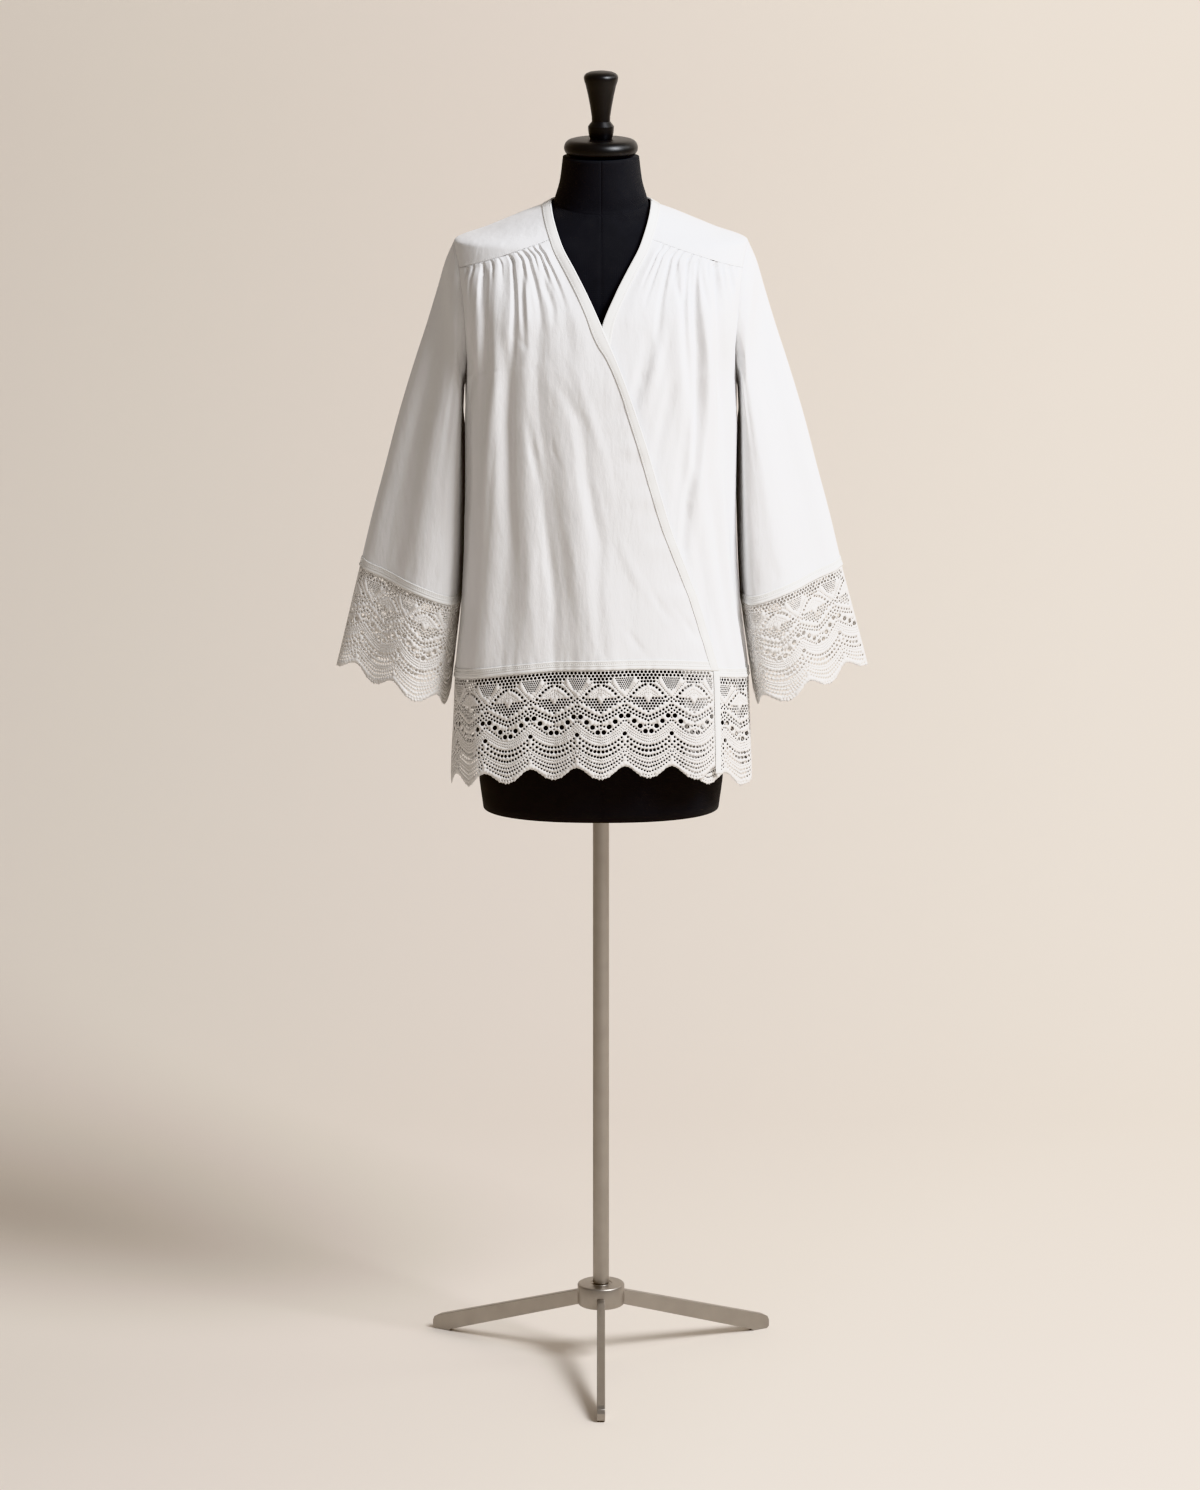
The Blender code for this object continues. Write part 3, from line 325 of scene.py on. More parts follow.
ARM_X = float(abs(round_body(CLOTH, bearing_at_y(-armhole_y(YOKE_SEAM_Z), YOKE_SEAM_Z, -1),
                             YOKE_SEAM_Z)[0]))


def yoke_seam(side, drop):
    """Front yoke seam from the armhole to the neck, straight as seen from the front."""
    def place(share):
        share = np.asarray(share, float)
        x = ARM_X + (YOKE_CORNER_X - ARM_X) * share
        z = YOKE_SEAM_Z + (YOKE_CORNER_Z - YOKE_SEAM_Z) * share - drop
        return pair(bearing_at_x(side * x, z), z)
    return place


def even_hem(start, end):
    """Hem from one bearing to another, in even steps of length."""
    bearings = np.linspace(start, end, 481)
    lengths = lengths_along(round_body(CLOTH, bearings, hem_z(bearings)))

    def place(share):
        bearing = np.interp(np.asarray(share, float) * lengths[-1], lengths, bearings)
        return pair(bearing, hem_z(bearing))
    place.length = float(lengths[-1])
    return place


def patch(top, bottom, left, right):
    """Blend of four edges, which meet at the corners."""
    corners = top(0.0), top(1.0), bottom(0.0), bottom(1.0)

    def place(s, t):
        s, t = spread(s, t)
        across, down = s[..., None], t[..., None]
        ruled = (1 - down) * top(s) + down * bottom(s) + (1 - across) * left(t) + across * right(t)
        shared = ((1 - across) * (1 - down) * corners[0] + across * (1 - down) * corners[1]
                  + (1 - across) * down * corners[2] + across * down * corners[3])
        return ruled - shared
    return place


HEM_GAP = float(abs(bearing_at_y(SEAM, HEM_SIDE_Z, -1)))
OUTER_END = float(bearing_at_x(OUTER_EDGE[-1].x, OUTER_EDGE[-1].z))
INNER_END = float(bearing_at_x(INNER_EDGE[-1].x, INNER_EDGE[-1].z))
OUTER_HEM = even_hem(RIGHT + HEM_GAP, OUTER_END)
INNER_HEM = even_hem(LEFT - HEM_GAP, INNER_END)
BACK_HEM = even_hem(RIGHT - HEM_GAP, -LEFT + HEM_GAP)
print("hem lengths, mm:", [round(hem.length / MM) for hem in (OUTER_HEM, INNER_HEM, BACK_HEM)])

# %% [markdown]
# ## Folds, gathers and creases
# The solids already have the large folds. Here the cloth gets what makes it look worn:
# gathers of their own length and depth under the yoke, and soft creases. Each crease is a
# path on the panel as seen from the front or the back, in millimetres, with a half width
# and its height at the start, the middle and the end. A ridge is positive, a trough negative.

# %% Tools for folds and creases
Fold = namedtuple("Fold", "at_yoke at_hem width depth_chest depth_hem")
Gather = namedtuple("Gather", "at length width depth drift")
Crease = namedtuple("Crease", "path width heights")
FLAT_EDGE, CREASE_EDGE = 0.10, 0.03    # shares of a panel's width where folds and creases flatten
PAST_ARMHOLE = 0.40                    # share of its length where the armhole's curve is forgotten
GATHER_PUFF = 2.8 * MM     # the cloth swells between its gathers just under the seam
OUTER_FOLDS = rows(Fold, [
    (0.12, 0.07, 0.07, 0.0035, 0.003), (0.28, 0.14, 0.08, 0.006, 0.005),
    (0.46, 0.23, 0.09, 0.006, 0.005), (0.62, 0.4, 0.1, 0.003, 0.004), (0.8, 0.66, 0.12, 0.002, 0.0045),
])
INNER_FOLDS = rows(Fold, [
    (0.16, 0.14, 0.11, 0.003, 0.0035), (0.38, 0.33, 0.12, 0.006, 0.006), (0.6, 0.5, 0.11, 0.005, 0.003),
])
BACK_FOLDS = rows(Fold, [
    (0.12, 0.12, 0.06, 0.0035, 0.0045), (0.27, 0.26, 0.07, 0.006, 0.008),
    (0.42, 0.41, 0.06, 0.005, 0.007), (0.57, 0.58, 0.07, 0.006, 0.008),
    (0.73, 0.74, 0.07, 0.0055, 0.0075), (0.88, 0.88, 0.06, 0.0035, 0.0045),
])


def fold_out(folds, s, t):
    """How far the soft folds stand out at share s across and t down."""
    out = 0.0
    for fold in folds:
        centre = fold.at_yoke + (fold.at_hem - fold.at_yoke) * t
        depth = fold.depth_chest + (fold.depth_hem - fold.depth_chest) * t
        out = out + depth * ease(t / 0.2) * ease(1 - np.abs(s - centre) / fold.width)
    return out


def gather_out(gathers, s, t):
    """Swelling under the yoke seam, pinched by gathers that each run down their own way."""
    out = GATHER_PUFF * ease(t / 0.03) * (1 - ease((t - 0.06) / 0.20))
    for gather in gathers:
        centre = gather.at + gather.drift * t
        reach = gather.width * (1 + 2.0 * t)
        fading = ease(t / 0.008) * (1 - ease(t / gather.length))
        out = out - gather.depth * MM * fading * ease(1 - np.abs(s - centre) / reach)
    return out


def crease_out(creases, x, z):
    """Sum of the creases at places (x, z), in metres."""
    out = np.zeros(np.broadcast(x, z).shape)
    for crease in creases:
        path = np.array(crease.path) * MM
        steps, starts = np.linalg.norm(np.diff(path, axis=0), axis=1), lengths_along(path)
        nearest = np.full(out.shape, np.inf)
        along = np.zeros(out.shape)
        for (x0, z0), (x1, z1), step, start in zip(path, path[1:], steps, starts):
            u = np.clip(((x - x0) * (x1 - x0) + (z - z0) * (z1 - z0)) / step**2, 0.0, 1.0)
            gap = np.hypot(x - x0 - u * (x1 - x0), z - z0 - u * (z1 - z0))
            along = np.where(gap < nearest, (start + u * step) / starts[-1], along)
            nearest = np.minimum(gap, nearest)
        height = np.interp(along, (0.0, 0.5, 1.0), crease.heights) * MM
        out += height * ease(1 - nearest / (crease.width * MM))
    return out


def share_past_armhole(panel, share, t, body):
    """Share at which a fold lies, as if the armhole ran smoothly into the side seam."""
    def smooth(side):
        top, hem = (panel.place(side, end)[0] for end in (0.0, 1.0))
        return top + (hem - top) * ease(t / PAST_ARMHOLE)
    left, right = (panel.place(side, t)[..., 0] for side in (0.0, 1.0))
    smooth_left = smooth(0.0)
    if panel.bands:
        right = smooth_right = left + body * (right - left)
    else:
        smooth_right = smooth(1.0)
    return (left + share * (right - left) - smooth_left) / (smooth_right - smooth_left)


def fade_at_edges(share, width=FLAT_EDGE):
    """Folds flatten near a panel's sides, where it is sewn or banded."""
    return ease(share / width) * ease((1 - share) / width)


# %% The gathers and creases themselves
OUTER_GATHERS = rows(Gather, [
    (0.1, 0.08, 0.026, 3.0, -0.02), (0.17, 0.11, 0.022, 3.0, -0.04), (0.27, 0.2, 0.028, 3.8, -0.1),
    (0.36, 0.06, 0.022, 2.6, 0.0), (0.44, 0.06, 0.02, 2.4, 0.0), (0.55, 0.34, 0.026, 4.2, -0.3),
    (0.63, 0.09, 0.022, 2.8, 0.0), (0.69, 0.22, 0.03, 3.6, 0.02), (0.75, 0.07, 0.02, 2.2, 0.0),
    (0.81, 0.13, 0.026, 3.0, 0.12), (0.87, 0.17, 0.03, 3.4, 0.22),
])
INNER_GATHERS = rows(Gather, [
    (0.09, 0.06, 0.022, 3.7, 0.0), (0.15, 0.12, 0.026, 4.3, 0.0), (0.23, 0.08, 0.022, 4.1, 0.0),
    (0.3, 0.2, 0.026, 5.3, -0.05), (0.38, 0.06, 0.02, 3.5, 0.0), (0.48, 0.22, 0.026, 5.0, -0.12),
    (0.57, 0.42, 0.028, 6.4, -0.14), (0.66, 0.1, 0.022, 4.3, 0.0), (0.73, 0.27, 0.028, 5.6, -0.1),
    (0.82, 0.15, 0.024, 4.7, 0.1), (0.89, 0.12, 0.024, 4.1, 0.14),
])
BACK_GATHERS = rows(Gather, [
    (0.04, 0.1, 0.01, 3.0, 0.0), (0.09, 0.16, 0.012, 3.4, 0.0), (0.15, 0.08, 0.01, 2.6, 0.0),
    (0.2, 0.28, 0.012, 4.0, -0.02), (0.26, 0.09, 0.009, 2.8, 0.0), (0.31, 0.13, 0.01, 3.2, 0.02),
    (0.36, 0.3, 0.012, 4.0, 0.0), (0.41, 0.07, 0.009, 2.4, 0.0), (0.46, 0.18, 0.011, 3.4, 0.02),
    (0.52, 0.1, 0.01, 2.8, 0.0), (0.57, 0.24, 0.012, 3.8, -0.03), (0.63, 0.08, 0.009, 2.6, 0.0),
    (0.68, 0.15, 0.011, 3.2, 0.0), (0.73, 0.32, 0.012, 4.0, 0.02), (0.79, 0.09, 0.01, 2.8, 0.0),
    (0.84, 0.21, 0.012, 3.6, 0.0), (0.9, 0.11, 0.01, 3.0, 0.0), (0.96, 0.14, 0.01, 2.8, 0.0),
])


def hem_puckers(*places):
    """Short dents where a hem's stitches draw the cloth in: x, bottom and length, millimetres."""
    return [Crease([(x, bottom + length), (x + length % 3 - 1, bottom + length / 2), (x, bottom)],
                   4 + length / 9, (0.0, -0.45, -0.8)) for x, bottom, length in places]


def crease_rows(*numbers):
    """Creases from rows: half width, three heights, and then the path's x, z, x, z and so on."""
    return [Crease(list(zip(row[4::2], row[5::2])), row[0], row[1:4]) for row in numbers]


OUTER_CREASES = crease_rows(
    (44, 0.0, 5.5, 7.5, -133, 1500, -142, 1420, -149, 1300, -152, 1180, -150, 1060, -149, 992),
    (11, 1.0, 4.2, 1.0, -135, 1526, -138, 1478, -138, 1361, -147, 1240, -154, 1133, -160, 1025, -163,
     992),
    (12, -1.5, -5.4, 0.0, -123, 1531, -127, 1435, -121, 1360, -121, 1283, -121, 1217, -115, 1150, -114,
     1095),
    (10, 0.5, 4.4, 0.0, -159, 1520, -160, 1470, -162, 1400, -166, 1320, -168, 1240),
    (13, 0.0, -2.6, -1.0, -73, 1425, -60, 1386, -27, 1327, -18, 1247, -3, 1168, -5, 1087, 1, 1020),
    (12, 0.0, -2.2, -0.8, -85, 1270, -70, 1167, -60, 1086, -63, 1013),
    (11, 1.5, 2.0, 0.5, -166, 1512, -171, 1470, -178, 1395, -183, 1292, -186, 1160),
    (7, -2.0, -4.6, 0.0, -150, 1512, -150, 1470, -148, 1420, -149, 1340),
    (11, 0.0, -2.2, 0.0, -158, 1400, -165, 1292, -168, 1197, -169, 1060),
    (6, -1.5, -2.4, 0.0, -101, 1522, -101, 1491, -99, 1440, -97, 1405),
    (7, 0.5, 1.6, 0.0, -95, 1532, -96, 1490, -93, 1440),
    (7, -1.5, -2.4, 0.0, -76, 1532, -72, 1500, -63, 1475, -60, 1445),
    (11, 0.0, 1.2, 0.0, -44, 1420, -28, 1380, -12, 1330, 2, 1280, 14, 1210),
    (7, 0.0, -0.7, 0.0, -112, 1442, -101, 1426, -87, 1416),
    (8, 0.0, -1.6, 0.0, -97, 1335, -90, 1292, -84, 1261, -75, 1228),
    (7, 0.0, 0.8, 0.0, -86, 1330, -80, 1290, -73, 1255),
    (6, 0.0, -0.8, 0.0, -66, 1312, -62, 1288, -52, 1258),
    (12, 0.0, 1.4, 0.0, -92, 1200, -90, 1150, -92, 1090, -86, 1030),
    (14, 0.0, 1.4, 0.0, -40, 1190, -36, 1120, -24, 1040),
    (7, 0.0, -0.9, 0.0, 24, 1062, 48, 1029, 70, 1004),
    (8, 0.0, -0.9, 0.0, 60, 1110, 82, 1072, 108, 1046),
    (7, 0.0, -0.9, -0.4, 92, 1082, 112, 1052, 133, 1024),
    (11, 0.0, 1.0, 0.0, 20, 1180, 40, 1130, 66, 1080),
) + hem_puckers(
    (-128, 996, 32), (-115, 996, 26), (-101, 996, 38), (-86, 996, 24), (-60, 996, 36), (-49, 996, 22),
    (-38, 996, 32), (-20, 996, 26), (-5, 996, 36), (13, 996, 24), (34, 996, 30), (66, 996, 22),
    (98, 996, 26),
)
INNER_CREASES = crease_rows(
    (6, -2.1, -3.4, 0.0, 97, 1527, 98, 1500, 104, 1477, 107, 1435),
    (9, -3.2, -8.4, -2.6, 116, 1522, 119, 1490, 122, 1457, 126, 1418, 127, 1349, 122, 1263, 112, 1215,
     107, 1150),
    (10, 0.7, 4.2, 0.7, 128, 1512, 132, 1450, 136, 1400, 136, 1330, 133, 1263, 124, 1210, 119, 1140),
    (12, 0.0, -3.4, 0.0, 104, 1440, 112, 1400, 114, 1340, 109, 1270, 100, 1220, 97, 1160),
    (10, -2.0, -4.6, 0.0, 146, 1524, 150, 1470, 155, 1400, 154, 1320, 150, 1220, 152, 1120),
    (5, -2.0, -2.8, 0.0, 128, 1524, 132, 1495, 140, 1457),
    (6, -2.5, -3.6, 0.0, 149, 1520, 152, 1495, 156, 1462),
    (6, -2.0, -2.5, 0.0, 166, 1517, 169, 1490, 166, 1480),
    (12, 0.0, -3.6, 0.0, 64, 1445, 56, 1401, 44, 1355, 34, 1320),
    (12, 0.0, -3.1, 0.0, 104, 1412, 86, 1344, 72, 1278, 66, 1240),
    (11, 0.0, 3.4, 0.0, 88, 1480, 78, 1430, 68, 1380, 54, 1320),
    (11, 0.0, 4.0, 0.0, 172, 1490, 174, 1401, 172, 1321, 170, 1197, 170, 1130),
    (9, 0.0, -2.0, -1.1, 133, 1120, 137, 1052, 140, 1004),
) + hem_puckers(
    (150, 980, 40), (164, 976, 34), (176, 974, 30),
)
BACK_CREASES = crease_rows(
    (10, 0.0, -2.5, 0.0, -150, 1440, -158, 1340, -164, 1200, -170, 1060),
    (7, 0.0, -3.6, 0.0, -118, 1470, -122, 1380, -127, 1270, -124, 1150),
    (9, 0.0, 1.8, 0.0, -96, 1450, -100, 1340, -96, 1220),
    (8, 0.0, -3.4, 0.0, -70, 1470, -66, 1390, -72, 1290, -80, 1180, -78, 1050),
    (7, 0.0, -1.8, 0.0, -40, 1440, -36, 1350, -30, 1280),
    (9, 0.0, -3.0, 0.0, -12, 1465, -8, 1360, -14, 1240, -10, 1100),
    (7, 0.0, 1.6, 0.0, 14, 1430, 22, 1330, 30, 1250, 34, 1180),
    (8, 0.0, -3.4, 0.0, 46, 1468, 50, 1400, 44, 1300, 48, 1190, 56, 1060),
    (6, 0.0, -2.2, 0.0, 78, 1450, 86, 1370, 84, 1290),
    (8, 0.0, -3.6, 0.0, 104, 1468, 112, 1380, 116, 1260, 112, 1130),
    (10, 0.0, -2.4, 0.0, 136, 1440, 146, 1330, 150, 1200, 158, 1070),
    (7, 0.0, -1.8, 0.0, -140, 1130, -128, 1080, -122, 1030),
    (8, 0.0, 1.4, 0.0, -20, 1160, -34, 1090, -38, 1030),
    (8, 0.0, -1.8, 0.0, 88, 1150, 98, 1080, 96, 1020),
    (6, 0.0, -1.4, 0.0, 10, 1110, 24, 1060, 44, 1024),
) + hem_puckers(
    (-150, 975, 34), (-112, 975, 40), (-92, 975, 30), (-48, 975, 42), (-22, 975, 30), (8, 975, 38),
    (34, 975, 32), (72, 975, 42), (128, 975, 34), (160, 975, 30),
)
print("creases:", len(OUTER_CREASES), len(INNER_CREASES), len(BACK_CREASES))

# %% [markdown]
# ## From points to cloth
# Each piece of cloth is a grid of points. The grid becomes a mesh with a UV map in metres,
# it is turned so that its faces look outward, and Solidify gives it its thickness inward.
# The surface of a panel is a function, so that bands, stitches and lace can use it too.

# %% Meshes, walls and names
def grid_mesh(name, points, width, length, closed=False):
    """Mesh of a grid of points (rows, columns, 3). width and length are those of the flat cloth."""
    down, across = points.shape[:2]
    index = np.arange(down * across).reshape(down, across)
    column = np.arange(across + closed)
    if closed:
        index = np.concatenate([index, index[:, :1]], axis=1)
    corners = ((0, 0), (1, 0), (1, 1), (0, 1))
    last_row, last_column = down - 1, len(column) - 1
    quads = np.stack([index[r:last_row + r, c:last_column + c] for r, c in corners], axis=-1)
    mesh = bpy.data.meshes.new(name)
    mesh.from_pydata((points.reshape(-1, 3) + POLE).tolist(), [], quads.reshape(-1, 4).tolist())
    u = column * width / last_column
    v = -np.arange(down) * length / last_row
    flat = [np.stack(np.broadcast_arrays(u[None, c:last_column + c], v[r:last_row + r, None]), -1)
            for r, c in corners]
    layer = mesh.uv_layers.new(name="flat")
    layer.data.foreach_set("uv", np.stack(flat, axis=2).ravel())
    return mesh


def face_outward(mesh, inside):
    """Flips a mesh whose faces mostly look towards inside(points)."""
    count = len(mesh.polygons)
    normals, centres = np.empty(3 * count), np.empty(3 * count)
    mesh.polygons.foreach_get("normal", normals)
    mesh.polygons.foreach_get("center", centres)
    centres = centres.reshape(-1, 3)
    if (normals.reshape(-1, 3) * (centres - inside(centres))).sum() < 0:
        mesh.flip_normals()


def inside_body(points):
    """Places inside the worn garment, level with the given points or a little below them."""
    return np.stack([points[:, 0] * 0, points[:, 0] * 0 + POLE[1],
                     np.minimum(points[:, 2], 1.45) - 0.05], axis=-1)


def keep_piece(mesh, material, replaced=()):
    """Links a smooth mesh as a piece."""
    piece = bpy.data.objects.new(mesh.name, mesh)
    bpy.context.scene.collection.objects.link(piece)
    mesh.materials.clear()
    mesh.materials.append(material)
    mesh.shade_smooth()
    return declare(piece, replaced)


def declare(piece, replaced):
    """Puts a piece on the one body, and hides the CAD nodes in whose place it stands."""
    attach(piece, "root")
    if replaced:
        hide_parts(*replaced)
    return piece


@contextmanager
def editing(piece, everything=True):
    """Edit mode on one piece, with all of it selected or with what is selected already."""
    bpy.ops.object.select_all(action="DESELECT")
    bpy.context.view_layer.objects.active = piece
    piece.select_set(True)
    bpy.ops.object.mode_set(mode="EDIT")
    if everything:
        bpy.ops.mesh.select_all(action="SELECT")
    yield
    bpy.ops.object.mode_set(mode="OBJECT")
    piece.select_set(False)


def apply_modifier(piece, kind, **settings):
    """Adds a modifier with its settings, and makes it part of the mesh."""
    modifier = piece.modifiers.new(kind.title(), kind)
    for name, value in settings.items():
        setattr(modifier, name, value)
    with bpy.context.temp_override(object=piece, active_object=piece, selected_objects=[piece]):
        bpy.ops.object.modifier_apply(modifier=modifier.name)


def cloth_piece(node, points, width, length, inside=inside_body, closed=False):
    """Cotton from a grid of points, in the place of its CAD node."""
    mesh = grid_mesh(f"{node}_cloth", points, width, length, closed)
    face_outward(mesh, inside)
    piece = keep_piece(mesh, COTTON, [node])
    apply_modifier(piece, "SOLIDIFY", thickness=WALL, offset=-1.0)
    return piece


# %% [markdown]
# ## The fronts and the back
# The outer front is lifted over the inner one before it crosses it. Its free edge was
# handled a great deal, so it waves a little. All panels are laid out alike: s runs from the
# side seam to where the front band begins at 1, and on across the band to 2.

# %% The three panels
LAP_LIFT, LAP_FROM, LAP_FULL = 0.0050, -0.0650, -0.0200
EDGE_WAVE = 0.9 * MM       # how far the outer front's free edge waves


def share_beside_band(panel, t):
    """Share of a panel's width, that far down it, where its front band begins."""
    if not panel.bands:
        return np.ones_like(t)
    ends = panel.place(0.9, t), panel.place(1.0, t)
    points = [round_body(CLOTH, end[..., 0], end[..., 1]) for end in ends]
    return 1.0 - 0.1 * BAND_WIDTH / np.linalg.norm(points[1] - points[0], axis=-1)


def lap_lift(x, z, s):
    """The outer front rises over the inner one, and its edge waves."""
    waves = np.sin(z * 2 * math.pi / 0.071) + 0.6 * np.sin(z * 2 * math.pi / 0.033 + 1.0)
    low = ease((1.40 - z) / 0.12)
    return (LAP_LIFT * ease((x - LAP_FROM) / (LAP_FULL - LAP_FROM))
            + EDGE_WAVE * low * (0.6 + waves / 2) * ease((s - 0.86) / 0.14))


def no_lift(x, z, s):
    """A panel that lies on no other."""
    return np.zeros(np.broadcast(x, z).shape)


def panel_surface(panel):
    """Function from (s, t) to points of a panel's outer face, moved out by out."""
    def surface(s, t, out=0.0):
        s, t = spread(s, t)
        body = share_beside_band(panel, t)
        at = panel.place(np.where(s <= 1, s * body, body + (s - 1) * (1 - body)), t)
        bearing, z = at[..., 0], at[..., 1]
        x = round_body(CLOTH, bearing, z)[..., 0]
        share = np.minimum(s, 1.0)
        on_fold = share_past_armhole(panel, share, t, body)
        stands = (fade_at_edges(share)
                  * (fold_out(panel.folds, on_fold, t) + gather_out(panel.gathers, on_fold, t)))
        stands = (stands + fade_at_edges(share, CREASE_EDGE) * crease_out(panel.creases, x, z)
                  + panel.lift(x, z, share))
        return on_body(bearing, z, stands + out)
    return surface


OUTER = patch(yoke_seam(-1, 0.0), OUTER_HEM, side_edge(-1, -1), free_edge(OUTER_EDGE))
INNER = patch(yoke_seam(1, 0.0), INNER_HEM, side_edge(1, -1), free_edge(INNER_EDGE))
BACK_CORNER_BEARING = float(abs(bearing_at_y(armhole_y(YOKE_SEAM_Z), YOKE_SEAM_Z, -1)))


def back_top(share):
    """The back's seam with the yoke, from the right armhole to the left."""
    corner = BACK_CORNER_BEARING
    return pair(-corner - (math.pi - 2 * corner) * np.asarray(share, float), YOKE_SEAM_Z)


FULL_TURN = np.array([2 * math.pi, 0.0])
BACK = patch(back_top, BACK_HEM, side_edge(-1, 1), lambda share: side_edge(1, 1)(share) - FULL_TURN)
Panel = namedtuple("Panel", "place hem lift folds gathers creases bands")
PANELS = {
    "front_right": Panel(OUTER, OUTER_HEM, lap_lift, OUTER_FOLDS, OUTER_GATHERS, OUTER_CREASES, True),
    "front_left": Panel(INNER, INNER_HEM, no_lift, INNER_FOLDS, INNER_GATHERS, INNER_CREASES, True),
    "back": Panel(BACK, BACK_HEM, no_lift, BACK_FOLDS, BACK_GATHERS, BACK_CREASES, False),
}
SURFACES = {which: panel_surface(panel) for which, panel in PANELS.items()}
PANEL_LENGTH = 0.5663


def shares_down(count):
    """Rows down a panel, closer together under the yoke, where the gathers are."""
    even = np.linspace(0.0, 1.0, count)
    return 0.55 * even + 0.45 * even**2


panels = []
for which, columns, lines, width in (("front_right", 210, 130, 0.4375), ("front_left", 120, 120, 0.30),
                                     ("back", 240, 110, 0.5482)):
    s = np.linspace(0.0, 1.0, columns)
    if PANELS[which].bands:                               # two columns more, under the band
        s = np.concatenate([s, [1.5, 2.0]])
    points = SURFACES[which](s[None, :], shares_down(lines)[:, None])
    panels.append(cloth_piece(which, points, width, PANEL_LENGTH))
print("panels:", [len(piece.data.polygons) for piece in panels], "faces")

# %% [markdown]
# ## The yoke
# The yoke is one piece over both shoulders and the upper back. Its two edges turn sharply
# where it crosses the shoulder's ridge and at the corners of the back seam, so stations
# are placed there, and the grid is fine between them. Sewing the gathers in has puckered it.

# %% Yoke
RIDGE, BACK_CORNER, NECK_BOW = 0.15, 0.30, 0.28
PUCKER, FRONT_RIPPLE, REAR_RIPPLE = 0.5 * MM, 0.0085, 0.0115     # height, and pitches of its ripples


def both_sides(half_edge):
    """Edge from the right over the back to the left, made from its right half, 0..0.5."""
    def place(share):
        share = np.asarray(share, float)
        bearing, z = half_edge(np.where(share > 0.5, 1 - share, share))
        return pair(np.where(share > 0.5, -math.pi - bearing, bearing), z)
    return place


@both_sides
def neck_edge(half):
    """From the right front corner over the shoulder, round the back, to the left front."""
    rise = np.clip(half / RIDGE, 0.0, 1.0)
    z = YOKE_CORNER_Z + SEAM + (NECK_Z - YOKE_CORNER_Z - SEAM) * rise
    x = YOKE_CORNER_X + (NECK_HALF - YOKE_CORNER_X) * rise * (1 + NECK_BOW * (1 - rise))
    round_back = BACK_MIDDLE * (half - RIDGE) / (0.5 - RIDGE)
    return np.where(half < RIDGE, bearing_at_x(-x, z), round_back), z


@both_sides
def yoke_outer_edge(half):
    """Armhole from the front seam over the shoulder, then the back seam."""
    turn = np.clip((half - RIDGE) / RIDGE, -1.0, 1.0)
    way = np.where(turn < 0, -1.0, 1.0)
    arm_z = SHOULDER_Z - SEAM + (YOKE_SEAM_Z + 2 * SEAM - SHOULDER_Z) * turn * turn
    arm = bearing_at_y(way * armhole_y(arm_z), arm_z, -1)
    seam_z = YOKE_SEAM_Z + SEAM
    corner = float(bearing_at_y(armhole_y(seam_z), seam_z, -1))
    seam = corner + (BACK_MIDDLE - corner) * (half - BACK_CORNER) / (0.5 - BACK_CORNER)
    on_arm = half < BACK_CORNER
    return np.where(on_arm, arm, seam), np.where(on_arm, arm_z, seam_z)


YOKE = patch(neck_edge, yoke_outer_edge, lambda share: yoke_seam(-1, -SEAM)(1 - share),
             lambda share: yoke_seam(1, -SEAM)(1 - share) - FULL_TURN)


def yoke_surface(s, t, out=0.0):
    """The yoke at share s along its neck edge and t out towards the seams."""
    s, t = spread(s, t)
    at = YOKE(s, t)
    plain = round_body(CLOTH, at[..., 0], at[..., 1])
    from_front_seam = np.minimum(s, 1 - s) * 0.60          # metres, along the armhole
    front = ease(1 - from_front_seam / 0.010) * ease((t - 0.10) / 0.1) * ease((1 - t) / 0.05)
    rear = ease(1 - (1 - t) * 0.08 / 0.010) * ease((np.abs(s - 0.5) < 0.19) * 1.0)
    front_ripple, rear_ripple = [0.5 + 0.5 * np.sin(plain[..., 0] * 2 * math.pi / pitch)
                                 for pitch in (FRONT_RIPPLE, REAR_RIPPLE)]
    pucker = PUCKER * (front * front_ripple + rear * rear_ripple)
    return on_body(at[..., 0], at[..., 1], pucker + out)


def stations(*stretches):
    """Shares from stretches (start, end, steps), each sharing its end with the next."""
    parts = [np.linspace(start, end, steps, endpoint=False) for start, end, steps in stretches]
    return np.concatenate([*parts, [stretches[-1][1]]])


YOKE_S = stations((0.0, 0.02, 12), (0.02, RIDGE, 30), (RIDGE, BACK_CORNER, 26),
                  (BACK_CORNER, 1 - BACK_CORNER, 110), (1 - BACK_CORNER, 1 - RIDGE, 26),
                  (1 - RIDGE, 0.98, 30), (0.98, 1.0, 12))
YOKE_T = stations((0.0, 0.14, 6), (0.14, 0.86, 22), (0.86, 1.0, 12))
yoke = cloth_piece("yoke", yoke_surface(YOKE_S[None, :], YOKE_T[:, None]), 0.50, 0.16)
print("yoke:", len(yoke.data.polygons), "faces")

# %% [markdown]
# ## Bands, headings and stitches
# A folded band is a closed strip with a rounded fold at its outer edge and a row of
# stitches in a groove along its inner one. So a strip is built from two lines of points,
# and a profile says how high it stands at each share of its width. The heading between
# cotton and lace is made the same way: a hem fold with ladder stitches, then a beaded tape.
# A stitch is a small spindle of eight triangles, repeated thousands of times.

